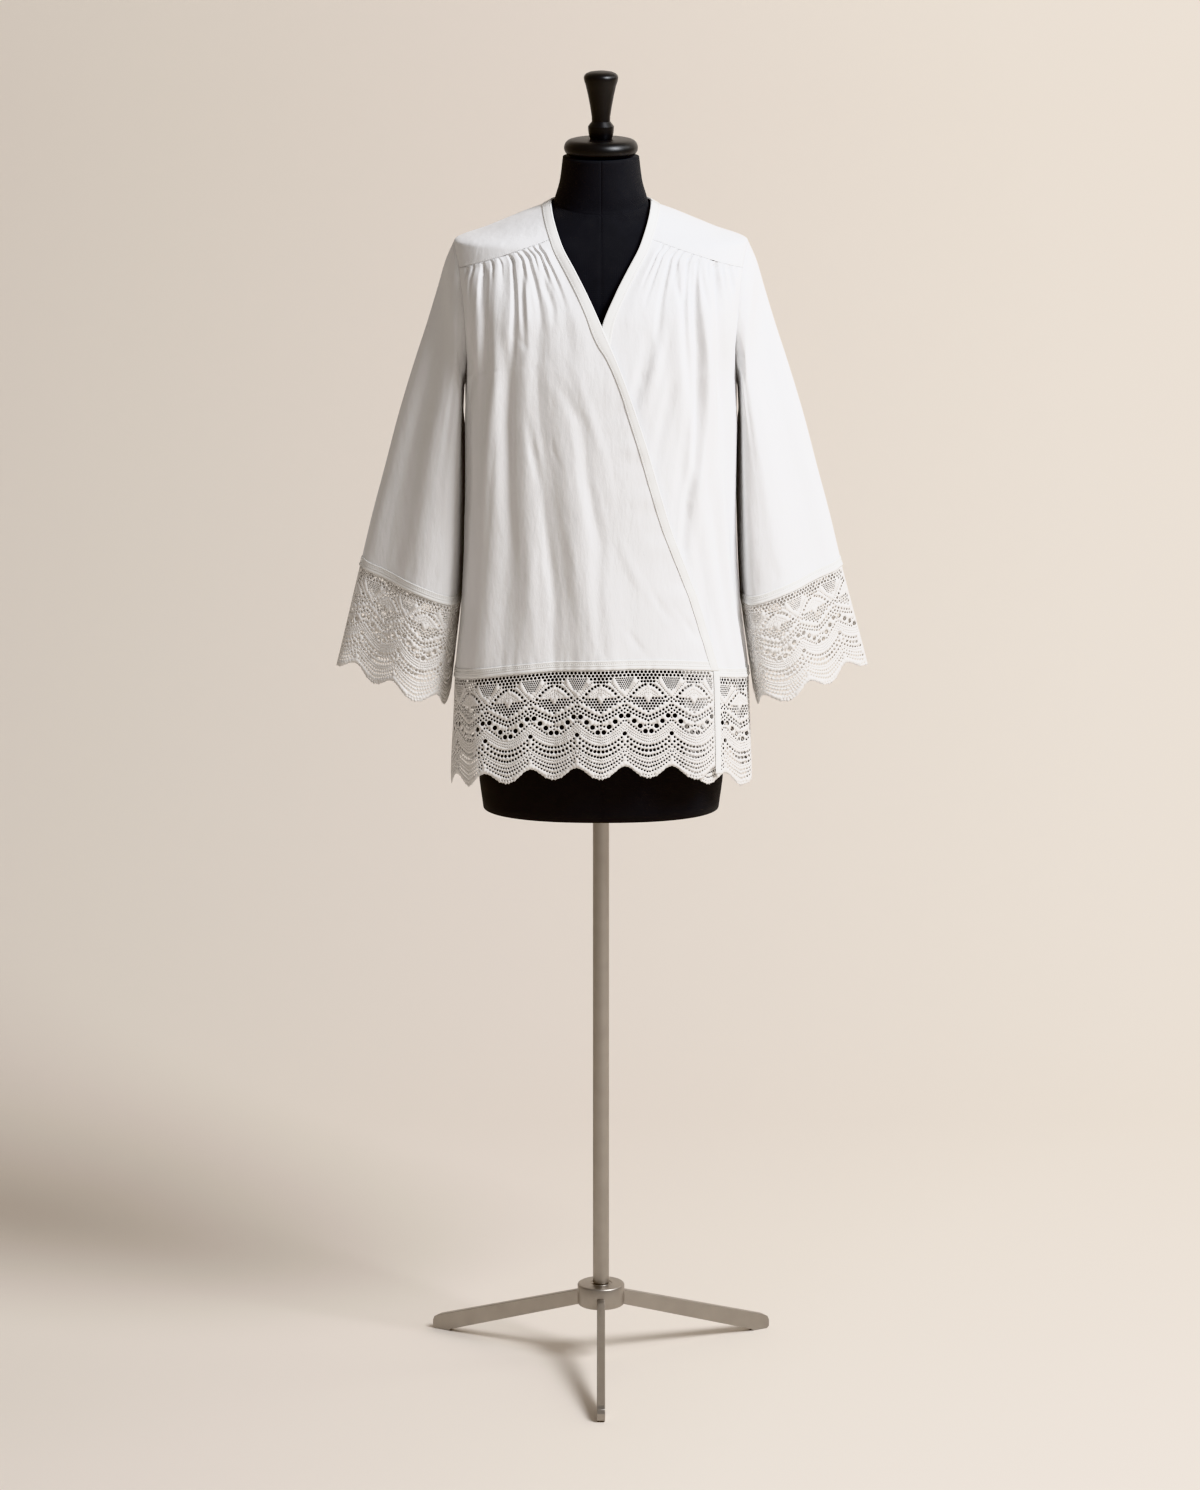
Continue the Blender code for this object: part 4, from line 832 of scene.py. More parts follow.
# %% Strips and stitches
BAND_PROFILE = [(0.0, 0.25), (0.01, 0.8), (0.05, 1.2), (0.14, 1.35), (0.45, 1.25), (0.74, 1.25),
                (0.80, 0.95), (0.86, 1.20), (0.96, 1.05), (1.0, 0.25)]
HEADING_PROFILE = [(0.0, 0.25), (0.02, 1.0), (0.08, 1.15), (0.16, 0.75), (0.42, 0.75), (0.48, 1.25),
                   (0.54, 1.25), (0.58, 0.7), (0.66, 1.15), (0.80, 1.45), (0.93, 1.1), (1.0, 0.25)]
BEAD_PITCH = 2.8 * MM
BAND_STITCHES, FOLD_STITCHES = (0.80, 1.05), (0.12, 1.4)     # share of the width, height in mm
LADDER_STITCHES, LADDER_LENGTH = (0.29, 0.9), 3.2 * MM       # the same, across a hem's fold
JOINT_SHARE = 0.0008       # strips that meet stop this share of their line short of each other


def outward(normals, line):
    """The normals of a line on the garment, or their opposites when they look inward."""
    return normals if (normals * (line + POLE - inside_body(line))).sum() > 0 else -normals


def strip_points(outer, inner, profile, beads=0.0):
    """Rings of points round a strip that lies between two lines of points."""
    across = unit(inner - outer)
    along = unit(np.gradient((inner + outer) / 2, axis=0))
    normal = unit(np.cross(along, across))
    middle = (inner + outer) / 2
    normal = outward(normal, middle)
    rings = []
    for share, height in profile:
        bead = beads * (np.arange(len(outer)) % 2) if 0.6 < share < 0.95 else 0.0
        rise = (height * MM + bead) * np.ones(len(outer))
        rings.append(outer + (inner - outer) * share + normal * rise[:, None])
    for share in (0.75, 0.25):
        rings.append(outer + (inner - outer) * share + normal * 0.2 * MM)
    return np.stack(rings, axis=1), normal


def make_strip(node, outer, inner, profile, closed=False, beads=0.0, ending="tape"):
    """A folded strip between two lines, in the place of its CAD node, and its normals."""
    rings, normal = strip_points(outer, inner, profile, beads)
    length = float(np.linalg.norm(np.diff(outer, axis=0), axis=1).sum())
    width = float(np.linalg.norm(inner - outer, axis=1).mean())
    looped = np.concatenate([rings, rings[:1]]) if closed else rings
    mesh = grid_mesh(f"{node}_{ending}", looped, width, length, closed=True)
    middles = looped.mean(axis=1)

    def middle_of(centres):
        return middles[np.repeat(np.arange(len(looped) - 1), rings.shape[1])] + POLE
    face_outward(mesh, middle_of)
    piece = keep_piece(mesh, TAPE, [node])
    close_ends(piece, closed)
    return piece, normal


def close_ends(piece, closed):
    """Merges a looped strip's first and last ring, or fills the ends of an open one."""
    with editing(piece):
        if closed:
            bpy.ops.mesh.remove_doubles(threshold=1e-6)
        else:
            bpy.ops.mesh.fill_holes(sides=0)
            bpy.ops.mesh.normals_make_consistent(inside=False)
    piece.data.shade_smooth()


def even_points(line, pitch):
    """Points a pitch apart along a line of points, with their directions and shares of it."""
    lengths = lengths_along(line)
    at = np.arange(pitch / 2, lengths[-1], pitch)
    behind, here, ahead = [points_at(at + step, lengths, line) for step in (-pitch / 4, 0.0, pitch / 4)]
    return here, unit(ahead - behind), at / lengths[-1]


def spindles(middles, along, normals, length, radius):
    """Stitches: each is a spindle of six points and eight triangles."""
    beside = np.cross(along, normals)
    corners = [middles - along * length / 2, middles + normals * radius, middles + beside * radius,
               middles - normals * radius, middles - beside * radius, middles + along * length / 2]
    points = np.stack(corners, axis=1).reshape(-1, 3)
    one = np.array([(0, 2, 1), (0, 3, 2), (0, 4, 3), (0, 1, 4),
                    (5, 1, 2), (5, 2, 3), (5, 3, 4), (5, 4, 1)])
    triangles = one[None] + 6 * np.arange(len(middles))[:, None, None]
    return points, triangles.reshape(-1, 3)


STITCHES = []              # (points, triangles) of every run of stitches, joined at the end
STITCH_PITCH, STITCH_LENGTH, STITCH_RADIUS = 2.7 * MM, 2.1 * MM, 0.32 * MM
STITCH_RISE = 0.15 * MM    # a stitch's middle stands this far out of the cloth


def sew(line, normals, pitch=STITCH_PITCH, length=STITCH_LENGTH, crosswise=False):
    """A run of stitches along a line that lies on the cloth, with its normals."""
    points, along, shares = even_points(line, pitch)
    normals = unit(points_at(shares * (len(line) - 1), np.arange(len(line)), normals))
    along = unit(np.cross(along, normals) if crosswise else along)
    STITCHES.append(spindles(points + normals * STITCH_RISE, along, normals, length, STITCH_RADIUS))


def across_cloth(line, beside):
    """Normals of cloth along a line, from a second line beside it."""
    return unit(np.cross(unit(np.gradient(line, axis=0)), unit(beside - line)))


def sew_on_strip(outer, inner, normal, share, height, **run):
    """A run of stitches that share of the way across a strip, at that height in millimetres."""
    sew(outer + (inner - outer) * share + normal * height * MM, normal, **run)


def sew_beside(line, beside):
    """A run of stitches along a line, whose cloth goes on towards the line beside it."""
    sew(line, outward(across_cloth(line, beside), line))


# %% [markdown]
# ## The front bands
# Each front band starts on the shoulder's ridge, runs down the neck edge of the yoke and on
# down the free edge of its front. The outer one carries on below the hem as the plain edge
# of the lace. A third band closes the back of the neck.

# %% Bands
def yoke_band_lines(shares):
    """Outer and inner line of the band on the yoke's neck edge."""
    near = yoke_surface(shares, 0.0), yoke_surface(shares, 0.1)
    down = 0.1 * BAND_WIDTH / np.linalg.norm(near[1] - near[0], axis=-1)
    return near[0], yoke_surface(shares, down)


def smooth_line(line, times=3):
    """Rounds the small step where the band passes from the yoke to the front."""
    for _ in range(times):
        line[1:-1] = (line[:-2] + 2 * line[1:-1] + line[2:]) / 4
    return line


BANDS = []
over = np.linspace(RIDGE, 0.0, 30)
downward = np.linspace(0.004, 1.0, 230)
for side, which, over_shares in (("right", "front_right", over), ("left", "front_left", 1 - over)):
    surface = SURFACES[which]
    yoke_outer, yoke_inner = yoke_band_lines(over_shares)
    outer = smooth_line(np.concatenate([yoke_outer, surface(2.0, downward)]))
    inner = smooth_line(np.concatenate([yoke_inner, surface(1.0, downward)]))
    piece, normal = make_strip(f"band_{side}", outer, inner, BAND_PROFILE)
    BANDS.append(piece)
    for share, height in (BAND_STITCHES, FOLD_STITCHES):
        sew_on_strip(outer, inner, normal, share, height)

back_shares = np.linspace(RIDGE + JOINT_SHARE, 1 - RIDGE - JOINT_SHARE, 90)
outer, inner = yoke_band_lines(back_shares)
neck_band, normal = make_strip("band_neck_back", outer, inner, BAND_PROFILE)
BANDS.append(neck_band)
sew_on_strip(outer, inner, normal, *BAND_STITCHES)
print("bands:", [len(piece.data.polygons) for piece in BANDS], "faces")

# %% [markdown]
# ## Headings and seams
# The heading lies over the seam between cotton and lace. Its beads are 2.8 mm apart, so the
# strip has a point every 1.4 mm, high and low by turns. Ladder stitches stand across the
# hem fold, and the yoke's seams and the armholes are top-stitched.

# %% Headings
HEADINGS = []
BEAD_HEIGHT = 0.35 * MM
HEADING_SHARE = 0.976      # the hem's heading starts this far down a panel


def heading(node, upper, lower, closed=False):
    """A hem's fold and beaded tape between two lines, with ladder stitches across the fold."""
    piece, normal = make_strip(node, upper, lower, HEADING_PROFILE, closed, BEAD_HEIGHT)
    HEADINGS.append(piece)
    sew_on_strip(upper, lower, normal, *LADDER_STITCHES, pitch=BEAD_PITCH, length=LADDER_LENGTH,
                 crosswise=True)


for which, panel in PANELS.items():
    s = np.linspace(JOINT_SHARE, 1.0 - JOINT_SHARE, int(panel.hem.length / (BEAD_PITCH / 2)))
    heading(f"heading_{which}", SURFACES[which](s, HEADING_SHARE), SURFACES[which](s, 1.0))

for which in ("front_right", "front_left"):           # just below the yoke's front seams
    s = np.linspace(0.01, 0.99, 200)
    sew_beside(SURFACES[which](s, JOINT_SHARE), SURFACES[which](s, 0.006))
for start in (0.0, 1.0):                              # on the yoke, above them
    t = np.linspace(0.14, 0.99, 160)
    sew_beside(yoke_surface(abs(start - 0.0055), t), yoke_surface(abs(start - 0.02), t))
s = np.linspace(BACK_CORNER + 0.005, 1 - BACK_CORNER - 0.005, 300)
sew_beside(yoke_surface(s, 0.965), yoke_surface(s, 0.90))
print("headings:", [len(piece.data.polygons) for piece in HEADINGS], "faces")

# %% [markdown]
# ## Sleeves
# A sleeve is a tube through a table of rings, each given by its outer and its inner point
# and its depth. Its first ring meets the armhole on the body. It hangs in a few long soft
# folds and some shorter creases, which are placed in degrees round the sleeve and in
# millimetres down it.

# %% Sleeves
SleeveRing = namedtuple("SleeveRing", "number outer_x outer_z inner_x inner_z half_depth")
SLEEVE = rows(SleeveRing, [
    (0, SHOULDER_HALF, SHOULDER_Z, 0.177, UNDERARM_Z, ARMHOLE_DEPTH),
    (1, 0.204, 1.518, 0.18, 1.35, 0.06), (2, 0.215, 1.481, 0.1815, 1.325, 0.062),
    (3, 0.229, 1.435, 0.183, 1.293, 0.063), (4, 0.248, 1.377, 0.1838, 1.25, 0.064),
    (5, 0.268, 1.311, 0.1846, 1.204, 0.065), (6, 0.286, 1.243, 0.1858, 1.156, 0.0655),
    (7, 0.304, 1.176, 0.1874, 1.109, 0.066), (8, 0.3176, 1.1195, 0.1895, 1.0735, 0.066),
    (9, 0.3205, 1.107, 0.1905, 1.061, 0.066),
])
LAST_RING = 9
SleeveFold = namedtuple("SleeveFold", "bearing width depth")
SLEEVE_FOLDS = rows(SleeveFold, [
    (38, 24, 0.0035), (95, 26, 0.004), (145, 20, 0.003), (232, 26, 0.004), (300, 26, 0.0035),
])
DEGREE_WIDTH = 1.15        # millimetres of cloth per degree round the sleeve
SLEEVE_CREASES = {
    -1: crease_rows(
        (17, 0.0, 2.2, 0.5, 74, 1500, 80, 1440, 86, 1330, 88, 1210, 90, 1120),
        (16, 0.0, -2.0, 0.0, 112, 1470, 116, 1380, 114, 1280, 110, 1180),
        (16, 0.0, -1.6, 0.0, 56, 1420, 60, 1300, 64, 1190),
        (14, 0.0, 1.2, 0.0, 22, 1470, 20, 1350, 24, 1230),
        (14, 0.0, 1.2, 0.0, 140, 1400, 150, 1300, 146, 1190),
        (10, 0.5, 1.6, 0.0, 84, 1530, 92, 1500, 96, 1450),
        (12, 0.0, 4.0, 0.0, 126, 1490, 133, 1430, 138, 1350, 139, 1270),
        (15, 0.0, -2.2, 0.0, 250, 1440, 244, 1320, 248, 1200),
        (14, 0.0, 1.6, 0.0, 286, 1400, 280, 1290, 284, 1180),
        (14, 0.0, -1.6, 0.0, 206, 1380, 212, 1280, 208, 1170),
        (14, 0.0, -1.4, 0.0, 330, 1350, 334, 1240, 330, 1150),
    ) + hem_puckers(
        (72, 1116, 36), (90, 1110, 28), (120, 1104, 34), (148, 1092, 30), (302, 1095, 32),
        (340, 1105, 28),
    ),
    1: crease_rows(
        (16, 0.0, 2.0, 0.5, 100, 1500, 108, 1430, 112, 1330, 108, 1210, 104, 1120),
        (15, 0.0, -2.0, 0.0, 132, 1440, 140, 1350, 138, 1250, 130, 1160),
        (15, 0.0, -1.5, 0.0, 80, 1450, 84, 1340, 82, 1220),
        (15, 0.0, 1.4, 0.0, 48, 1440, 54, 1330, 50, 1210),
        (14, 0.0, -1.4, 0.0, 26, 1380, 30, 1270, 28, 1160),
        (10, 0.5, -1.6, 0.0, 92, 1530, 98, 1490, 94, 1450),
        (11, 0.0, 3.6, 0.0, 122, 1480, 131, 1420, 134, 1340, 131, 1270),
        (15, 0.0, -2.2, 0.0, 240, 1430, 248, 1310, 242, 1190),
        (14, 0.0, 1.6, 0.0, 276, 1390, 282, 1280, 278, 1170),
        (14, 0.0, 1.6, 0.0, 214, 1370, 208, 1270, 214, 1160),
        (14, 0.0, -1.4, 0.0, 322, 1350, 318, 1240, 324, 1150),
    ) + hem_puckers(
        (82, 1114, 34), (108, 1104, 30), (136, 1096, 36), (50, 1120, 28), (292, 1095, 32),
        (334, 1105, 28),
    ),
}
SLEEVE_LEAN = 1.8          # a sleeve's front slopes back towards its outer edge
SLEEVE_TUCK = 9.0 * MM     # and its inner side tucks in behind the body
SLEEVE_SEAT = 0.7 * MM     # its head goes this far under the body's cloth, so that no gap shows


def sleeve_surface(turn, number, side, out=0.0):
    """Turn 0 is a sleeve's outer side, 90 degrees its front. Number runs down it, 0 to 9."""
    turn, number = spread(turn, number)

    def plain(at):
        outer_x, outer_z, inner_x, inner_z, half_depth = np.moveaxis(through(SLEEVE, at), -1, 0)
        share = 0.5 + 0.5 * np.cos(turn)
        half_turns = (turn % (2 * math.pi)) / math.pi
        lean = 1 + (SLEEVE_LEAN - 1) * ease(at / 2.5)
        leaning = math.pi * np.minimum(half_turns, 1.0) ** lean
        depth = half_depth * np.sin(np.where(half_turns < 1, leaning, turn))
        inward = SLEEVE_TUCK * ease((at - 2) / 2) * ease(1 - np.abs(half_turns - 1.2) / 0.35)
        return np.stack([inner_x + (outer_x - inner_x) * share - inward, -depth,
                         inner_z + (outer_z - inner_z) * share], axis=-1), (outer_x + inner_x) / 2

    head, _ = plain(np.zeros_like(number))
    on_panel = round_body(CLOTH, bearing_at_y(head[..., 1], head[..., 2], 1), head[..., 2])[..., 0]
    seated = on_panel - SLEEVE_SEAT + 0.6 * MM * np.maximum(np.cos(turn), 0.0)
    point, centre_x = plain(number)
    point[..., 0] += (seated - head[..., 0]) * np.clip(1 - number, 0.0, 1.0)
    degrees = np.degrees(turn) % 360
    stands = np.zeros(turn.shape)
    for fold in SLEEVE_FOLDS:
        away = np.abs((degrees - fold.bearing + 180) % 360 - 180)
        stands += fold.depth * ease(1 - away / fold.width)
    laid_flat = [crease._replace(path=[(d * DEGREE_WIDTH, z) for d, z in crease.path])
                 for crease in SLEEVE_CREASES[side]]
    creased = crease_out(laid_flat, degrees * DEGREE_WIDTH * MM, point[..., 2])
    stands = ease((number - 1) / 3) * stands + ease(number / 0.6) * creased + out
    away = np.stack([point[..., 0] - centre_x, point[..., 1], np.zeros(turn.shape)], axis=-1)
    point = point + unit(away) * stands[..., None]
    point[..., 0] *= side
    return point


def inside_sleeve(side):
    """Function to places inside the sleeve of that side, level with the given points."""
    heights = [(ring.outer_z + ring.inner_z) / 2 for ring in reversed(SLEEVE)]
    middles = [(ring.outer_x + ring.inner_x) / 2 for ring in reversed(SLEEVE)]

    def places(points):
        x = side * np.interp(points[:, 2], heights, middles)
        return np.stack([x, points[:, 0] * 0 + POLE[1], points[:, 2]], axis=-1)
    return places


SLEEVES = []
turns, fine_turns = [np.linspace(0.0, 2 * math.pi, count, endpoint=False) for count in (132, 310)]
numbers = stations((0.0, 1.0, 14), (1.0, 9.0, 84))
for which, side in (("right", -1), ("left", 1)):
    points = sleeve_surface(turns[None, :], numbers[:, None], side)
    SLEEVES.append(cloth_piece(f"sleeve_{which}", points, 0.434, 0.40, inside_sleeve(side), True))
    upper, lower, line, beside = [sleeve_surface(fine_turns, number, side)
                                  for number in (8.0, LAST_RING, 0.16, 0.26)]
    heading(f"heading_sleeve_{which}", upper, lower, closed=True)
    normals = across_cloth(line, beside)                  # top-stitching round the armhole
    sew(line, normals * np.sign((normals * (line - np.array([side * 0.185, 0.0, 1.45]))).sum()))
print("sleeves:", [len(piece.data.polygons) for piece in SLEEVES], "faces")

# %% [markdown]
# ## Lace
# The edging is bobbin-style cotton lace, 146 mm deep, in a traditional kind of pattern that
# repeats every 62 mm: net, crossing trails with a fan between them, a diamond of net, two
# ladders, a garland of large holes, and three solid scallops with rows of holes between.
# Half a repeat is listed as lines of holes, from the middle of a scallop to the cusp beside
# it. All of them are cut out of one flat strip at once, by a constrained triangulation, and
# the flat strip is then bent on to the garment. Its solid parts are threads in relief, which
# a bump gives: they are 0.8 mm apart on the real lace, and drawn 0.9 mm apart.

# %% Flat lace, in millimetres
HALF_REPEAT, LACE_DEPTH = 31.0, 146.0
HoleLine = namedtuple("HoleLine", "tip_x tip_y cusp_x cusp_y sag count at_tip at_cusp")
HOLE_LINES = rows(HoleLine, [
    (2.58, 2.7, 28.4, 2.7, 0.0, 6, 2.1, 2.1),               # net below the heading
    (0.0, 6.8, 31.0, 6.8, 0.0, 7, 2.15, 2.0),
    (2.58, 10.9, 12.9, 10.9, 0.0, 3, 2.2, 1.95),
    (0.0, 15.2, 8.2, 15.4, 0.0, 3, 1.95, 1.8),
    (19.8, 10.8, 31.0, 10.8, 0.0, 5, 1.22, 1.22),           # fine net over the cusp
    (21.2, 13.4, 29.6, 13.4, 0.0, 4, 1.22, 1.22),
    (22.6, 16.0, 31.0, 16.0, 0.0, 4, 1.22, 1.22),
    (24.0, 18.6, 29.6, 18.6, 0.0, 3, 1.22, 1.22),
    (25.4, 21.2, 31.0, 21.2, 0.0, 3, 1.22, 1.22),
    (26.8, 23.8, 29.6, 23.8, 0.0, 2, 1.15, 1.15),
    (3.6, 19.6, 23.0, 35.8, -2.6, 6, 1.92, 2.0),            # arch of holes over the fan
    (12.4, 16.0, 27.6, 34.0, -0.4, 9, 0.75, 0.75),
    (0.0, 25.0, 0.0, 33.4, 0.0, 4, 0.55, 0.55),             # the fan
    (3.6, 26.4, 12.4, 32.8, 0.4, 5, 0.55, 0.55),
    (2.8, 30.2, 10.0, 34.6, 0.2, 4, 0.55, 0.55),
    (6.4, 37.9, 18.8, 37.9, 0.0, 4, 1.75, 1.65),            # diamond of net
    (4.2, 41.4, 24.9, 41.6, 0.0, 6, 1.8, 1.6),
    (2.1, 45.0, 18.6, 45.0, 0.0, 5, 1.8, 1.65),
    (0.0, 48.6, 12.3, 48.6, 0.0, 4, 1.8, 1.65),
    (2.1, 52.2, 6.2, 52.2, 0.0, 2, 1.75, 1.65),
    (2.2, 62.0, 29.0, 47.2, 0.9, 7, 1.9, 1.75),             # two ladders
    (0.0, 67.6, 31.0, 51.4, 0.9, 9, 1.75, 1.6),
    (0.0, 73.0, 4.4, 74.2, 0.0, 2, 1.6, 1.5),
    (9.6, 83.2, 29.2, 67.6, 0.5, 7, 1.55, 1.4),
    (0.0, 89.2, 31.0, 72.0, 3.4, 14, 0.62, 0.62),           # first solid scallop
    (0.0, 92.8, 31.0, 75.8, 3.3, 14, 0.62, 0.62),
    (0.0, 96.4, 29.8, 79.6, 3.2, 13, 0.62, 0.62),
    (2.4, 101.6, 27.0, 89.6, 2.4, 7, 1.9, 1.65),            # open arc below it
    (2.8, 107.9, 27.4, 95.4, 2.8, 6, 2.35, 1.85),
    (0.0, 115.6, 31.0, 99.6, 3.2, 9, 1.85, 1.6),            # second scallop
    (0.0, 120.2, 31.0, 104.2, 3.0, 14, 0.62, 0.62),
    (1.7, 124.6, 29.3, 108.8, 2.8, 9, 1.35, 1.2),
    (0.0, 130.2, 31.0, 113.6, 2.6, 10, 1.55, 1.4),          # border
    (1.7, 136.2, 27.2, 121.2, 1.6, 8, 1.4, 1.25),
    (0.0, 141.4, 7.6, 139.9, 0.0, 3, 0.9, 0.8),
])
LONE_HOLES = [            # x, y and radius: corners of the diamond, the cluster, the garland
    (31.0, 26.4, 1.0), (0.0, 55.6, 1.6), (31.0, 36.9, 1.65), (27.4, 39.0, 1.45), (31.0, 41.9, 1.6),
    (31.0, 56.6, 1.55), (31.0, 63.2, 1.25), (0.0, 77.6, 1.2), (3.9, 82.0, 3.35), (10.8, 74.9, 3.45),
    (18.6, 68.2, 3.4), (26.4, 60.8, 3.4), (31.0, 84.6, 3.1),
]
EDGE_RISES = [(0.0, 0.0), (0.18, 0.05), (0.34, 0.18), (0.48, 0.36), (0.61, 0.60), (0.74, 0.80),
              (0.87, 0.94), (1.0, 1.0)]     # share of half a repeat from the tip, share of the scallop
SCALLOP, PICOT, PICOTS = 15.5, 2.3, 7
EDGE_STEPS = 48


def half_repeat_holes():
    """Every hole of half a repeat, as x, y and radius."""
    holes = list(LONE_HOLES)
    for line in HOLE_LINES:
        for u in np.linspace(0.0, 1.0, line.count):
            x = line.tip_x + (line.cusp_x - line.tip_x) * u
            y = line.tip_y + (line.cusp_y - line.tip_y) * u + line.sag * 4 * u * (1 - u)
            holes.append((x, y, line.at_tip + (line.at_cusp - line.at_tip) * u))
    return holes


def scallop_edge(share):
    """Depth of the lace's lower edge, from a scallop's tip at 0 to the cusp at 1, with picots."""
    shares, rises = zip(*EDGE_RISES)
    uneven = 0.75 + 0.25 * math.sin(share * 23)
    picot = PICOT * uneven * abs(math.sin(share * PICOTS * math.pi)) ** 0.7 * (1 - 0.8 * share**1.5)
    return LACE_DEPTH - SCALLOP * np.interp(share, shares, rises) - PICOT + picot


def flat_lace(halves, from_cusp, end_trim=0.5):
    """Points and triangles of a flat strip of so many half repeats.

    It starts in the middle of a scallop, or at the cusp between two.
    """
    length = halves * HALF_REPEAT
    holes = set()
    for half in range(halves):
        at_tip = (half % 2 == 0) != from_cusp
        tip, way = (half if at_tip else half + 1) * HALF_REPEAT, 1 if at_tip else -1
        for x, y, radius in half_repeat_holes():
            at = tip + way * x
            if radius + end_trim < at < length - radius - end_trim:
                holes.add((round(at, 3), round(y, 3), round(radius, 3)))
    top = [(x, 0.0) for x in np.linspace(0.0, length, halves * 12 + 1)]
    ends = [float(scallop_edge((half % 2 == 1) != from_cusp)) for half in (0, halves)]
    right = [(length, y) for y in np.linspace(0.0, ends[1], 40)[1:-1]]
    lower = []
    for half in reversed(range(halves)):
        for u in np.linspace(1.0, 0.0, EDGE_STEPS + 1)[:None if half == 0 else -1]:
            share = u if (half % 2 == 0) != from_cusp else 1 - u
            lower.append(((half + u) * HALF_REPEAT, float(scallop_edge(share))))
    left = [(0.0, y) for y in np.linspace(ends[0], 0.0, 40)[1:-1]]
    points = top + right + lower + left
    loops = [list(range(len(points)))]
    for at, y, radius in sorted(holes):
        sides = 4 if radius < 0.6 else 6 if radius < 1.3 else 8
        angles = (np.arange(sides) + 0.5) * 2 * math.pi / sides
        first = len(points)
        points.extend(zip(at + radius * np.cos(angles), y + radius * np.sin(angles)))
        loops.append(list(range(first, first + sides)))
    found = delaunay_2d_cdt([Vector(point) for point in points], [], loops, 0, 1e-6)
    triangles = [face for face, origin in zip(found[2], found[5]) if list(origin) == [0]]
    return np.array([tuple(p) for p in found[0]]), triangles, len(holes)


FLAT_LACE = {(halves, from_cusp): flat_lace(halves, from_cusp)
             for halves, from_cusp in ((5, False), (7, False), (14, True), (17, True))}
print("lace holes by strip:", {halves: found[2] for halves, found in FLAT_LACE.items()})

# %% Lace material
THREAD_GAP, LINE_GAP, SCALLOP_SLOPE = 0.9 * MM, 1.9 * MM, 0.53


def bobbin_lace():
    """Solid parts of lace: threads along the edging, and across it in curves like the scallops."""
    lace, shader = new_material("cotton lace, bobbin-worked", "#f5f3ef", 0.9, Sheen_Weight=0.15,
                                Specular_IOR_Level=0.25)
    place = add_node(shader, "TexCoord")
    flat = add_node(shader, "SeparateXYZ", {"Vector": place["UV"]})
    from_tip = add_node(shader, "Math", {0: flat["X"], 1: HALF_REPEAT * MM}, operation="PINGPONG")
    scalloped = add_node(shader, "Math", {0: from_tip[0], 1: SCALLOP_SLOPE, 2: flat["Y"]},
                         operation="MULTIPLY_ADD")
    laid = add_node(shader, "CombineXYZ", {"X": flat["X"], "Y": scalloped[0]})
    threads = [add_node(shader, "TexWave", {"Vector": laid["Vector"], "Scale": band_scale(gap),
                        "Distortion": 1.2, "Detail": 1.0}, bands_direction=way)["Fac"]
               for way, gap in (("X", THREAD_GAP), ("Y", LINE_GAP))]
    crossed = add_node(shader, "Math", dict(enumerate(threads)), operation="MAXIMUM")
    relief = add_node(shader, "Bump", {"Height": crossed[0], "Distance": 0.25 * MM,
                      "Strength": 0.8})
    clumps = add_node(shader, "TexNoise", {"Vector": place["UV"], "Scale": 260.0, "Detail": 3.0})
    lumpy = add_node(shader, "Bump", {"Height": clumps["Fac"], "Normal": relief["Normal"],
                     "Distance": 0.8 * MM, "Strength": 0.8})
    tones = add_node(shader, "Mix", {"Factor": clumps["Fac"], "A": linear("#f9f7f4"),
                     "B": linear("#f1eeea")}, data_type="RGBA")
    set_inputs(shader, {"Base Color": tones["Result"], "Normal": lumpy["Normal"]})
    return lace


LACE = bobbin_lace()
print("lace drawn with threads", THREAD_GAP / MM, "and", LINE_GAP / MM, "mm apart")

# %% [markdown]
# The lace hangs from the hem as the cloth above it does, so its place is worked out from
# the panel's own surface at the hem, moved down. Its lower edge flutters a little. One
# function of the bearing gives the flutter, so that the two fronts' laces move together.

# %% Lace on the garment
LACE_WALL, LACE_JOINT = 0.7 * MM, 0.7 * MM
FLUTTER = 2.2 * MM         # how far the lace's lower edge waves


def hem_profile(panel):
    """Function from (along the hem, down from it) to points of the lace, in metres."""
    def point(along, down):
        whole = np.clip(along / panel.hem.length, 0.0, 1.0)
        at = panel.place(whole, 1.0)
        bearing, z = at[..., 0], at[..., 1]
        x = round_body(CLOTH, bearing, z)[..., 0]
        share = np.minimum(whole / share_beside_band(panel, np.ones_like(whole)), 1.0)
        out = fade_at_edges(share) * fold_out(panel.folds, share, 1.0)
        out = out + fade_at_edges(share, CREASE_EDGE) * crease_out(panel.creases, x, z)
        flutter = np.sin(bearing * 9.0 + 0.7) + 0.6 * np.sin(bearing * 17.0 + 2.0)
        low = ease(down / (LACE_DEPTH * MM))
        out = out + panel.lift(x, z, share) + FLUTTER * low * (0.8 + flutter)
        return on_body(bearing, z - down, out)
    return point


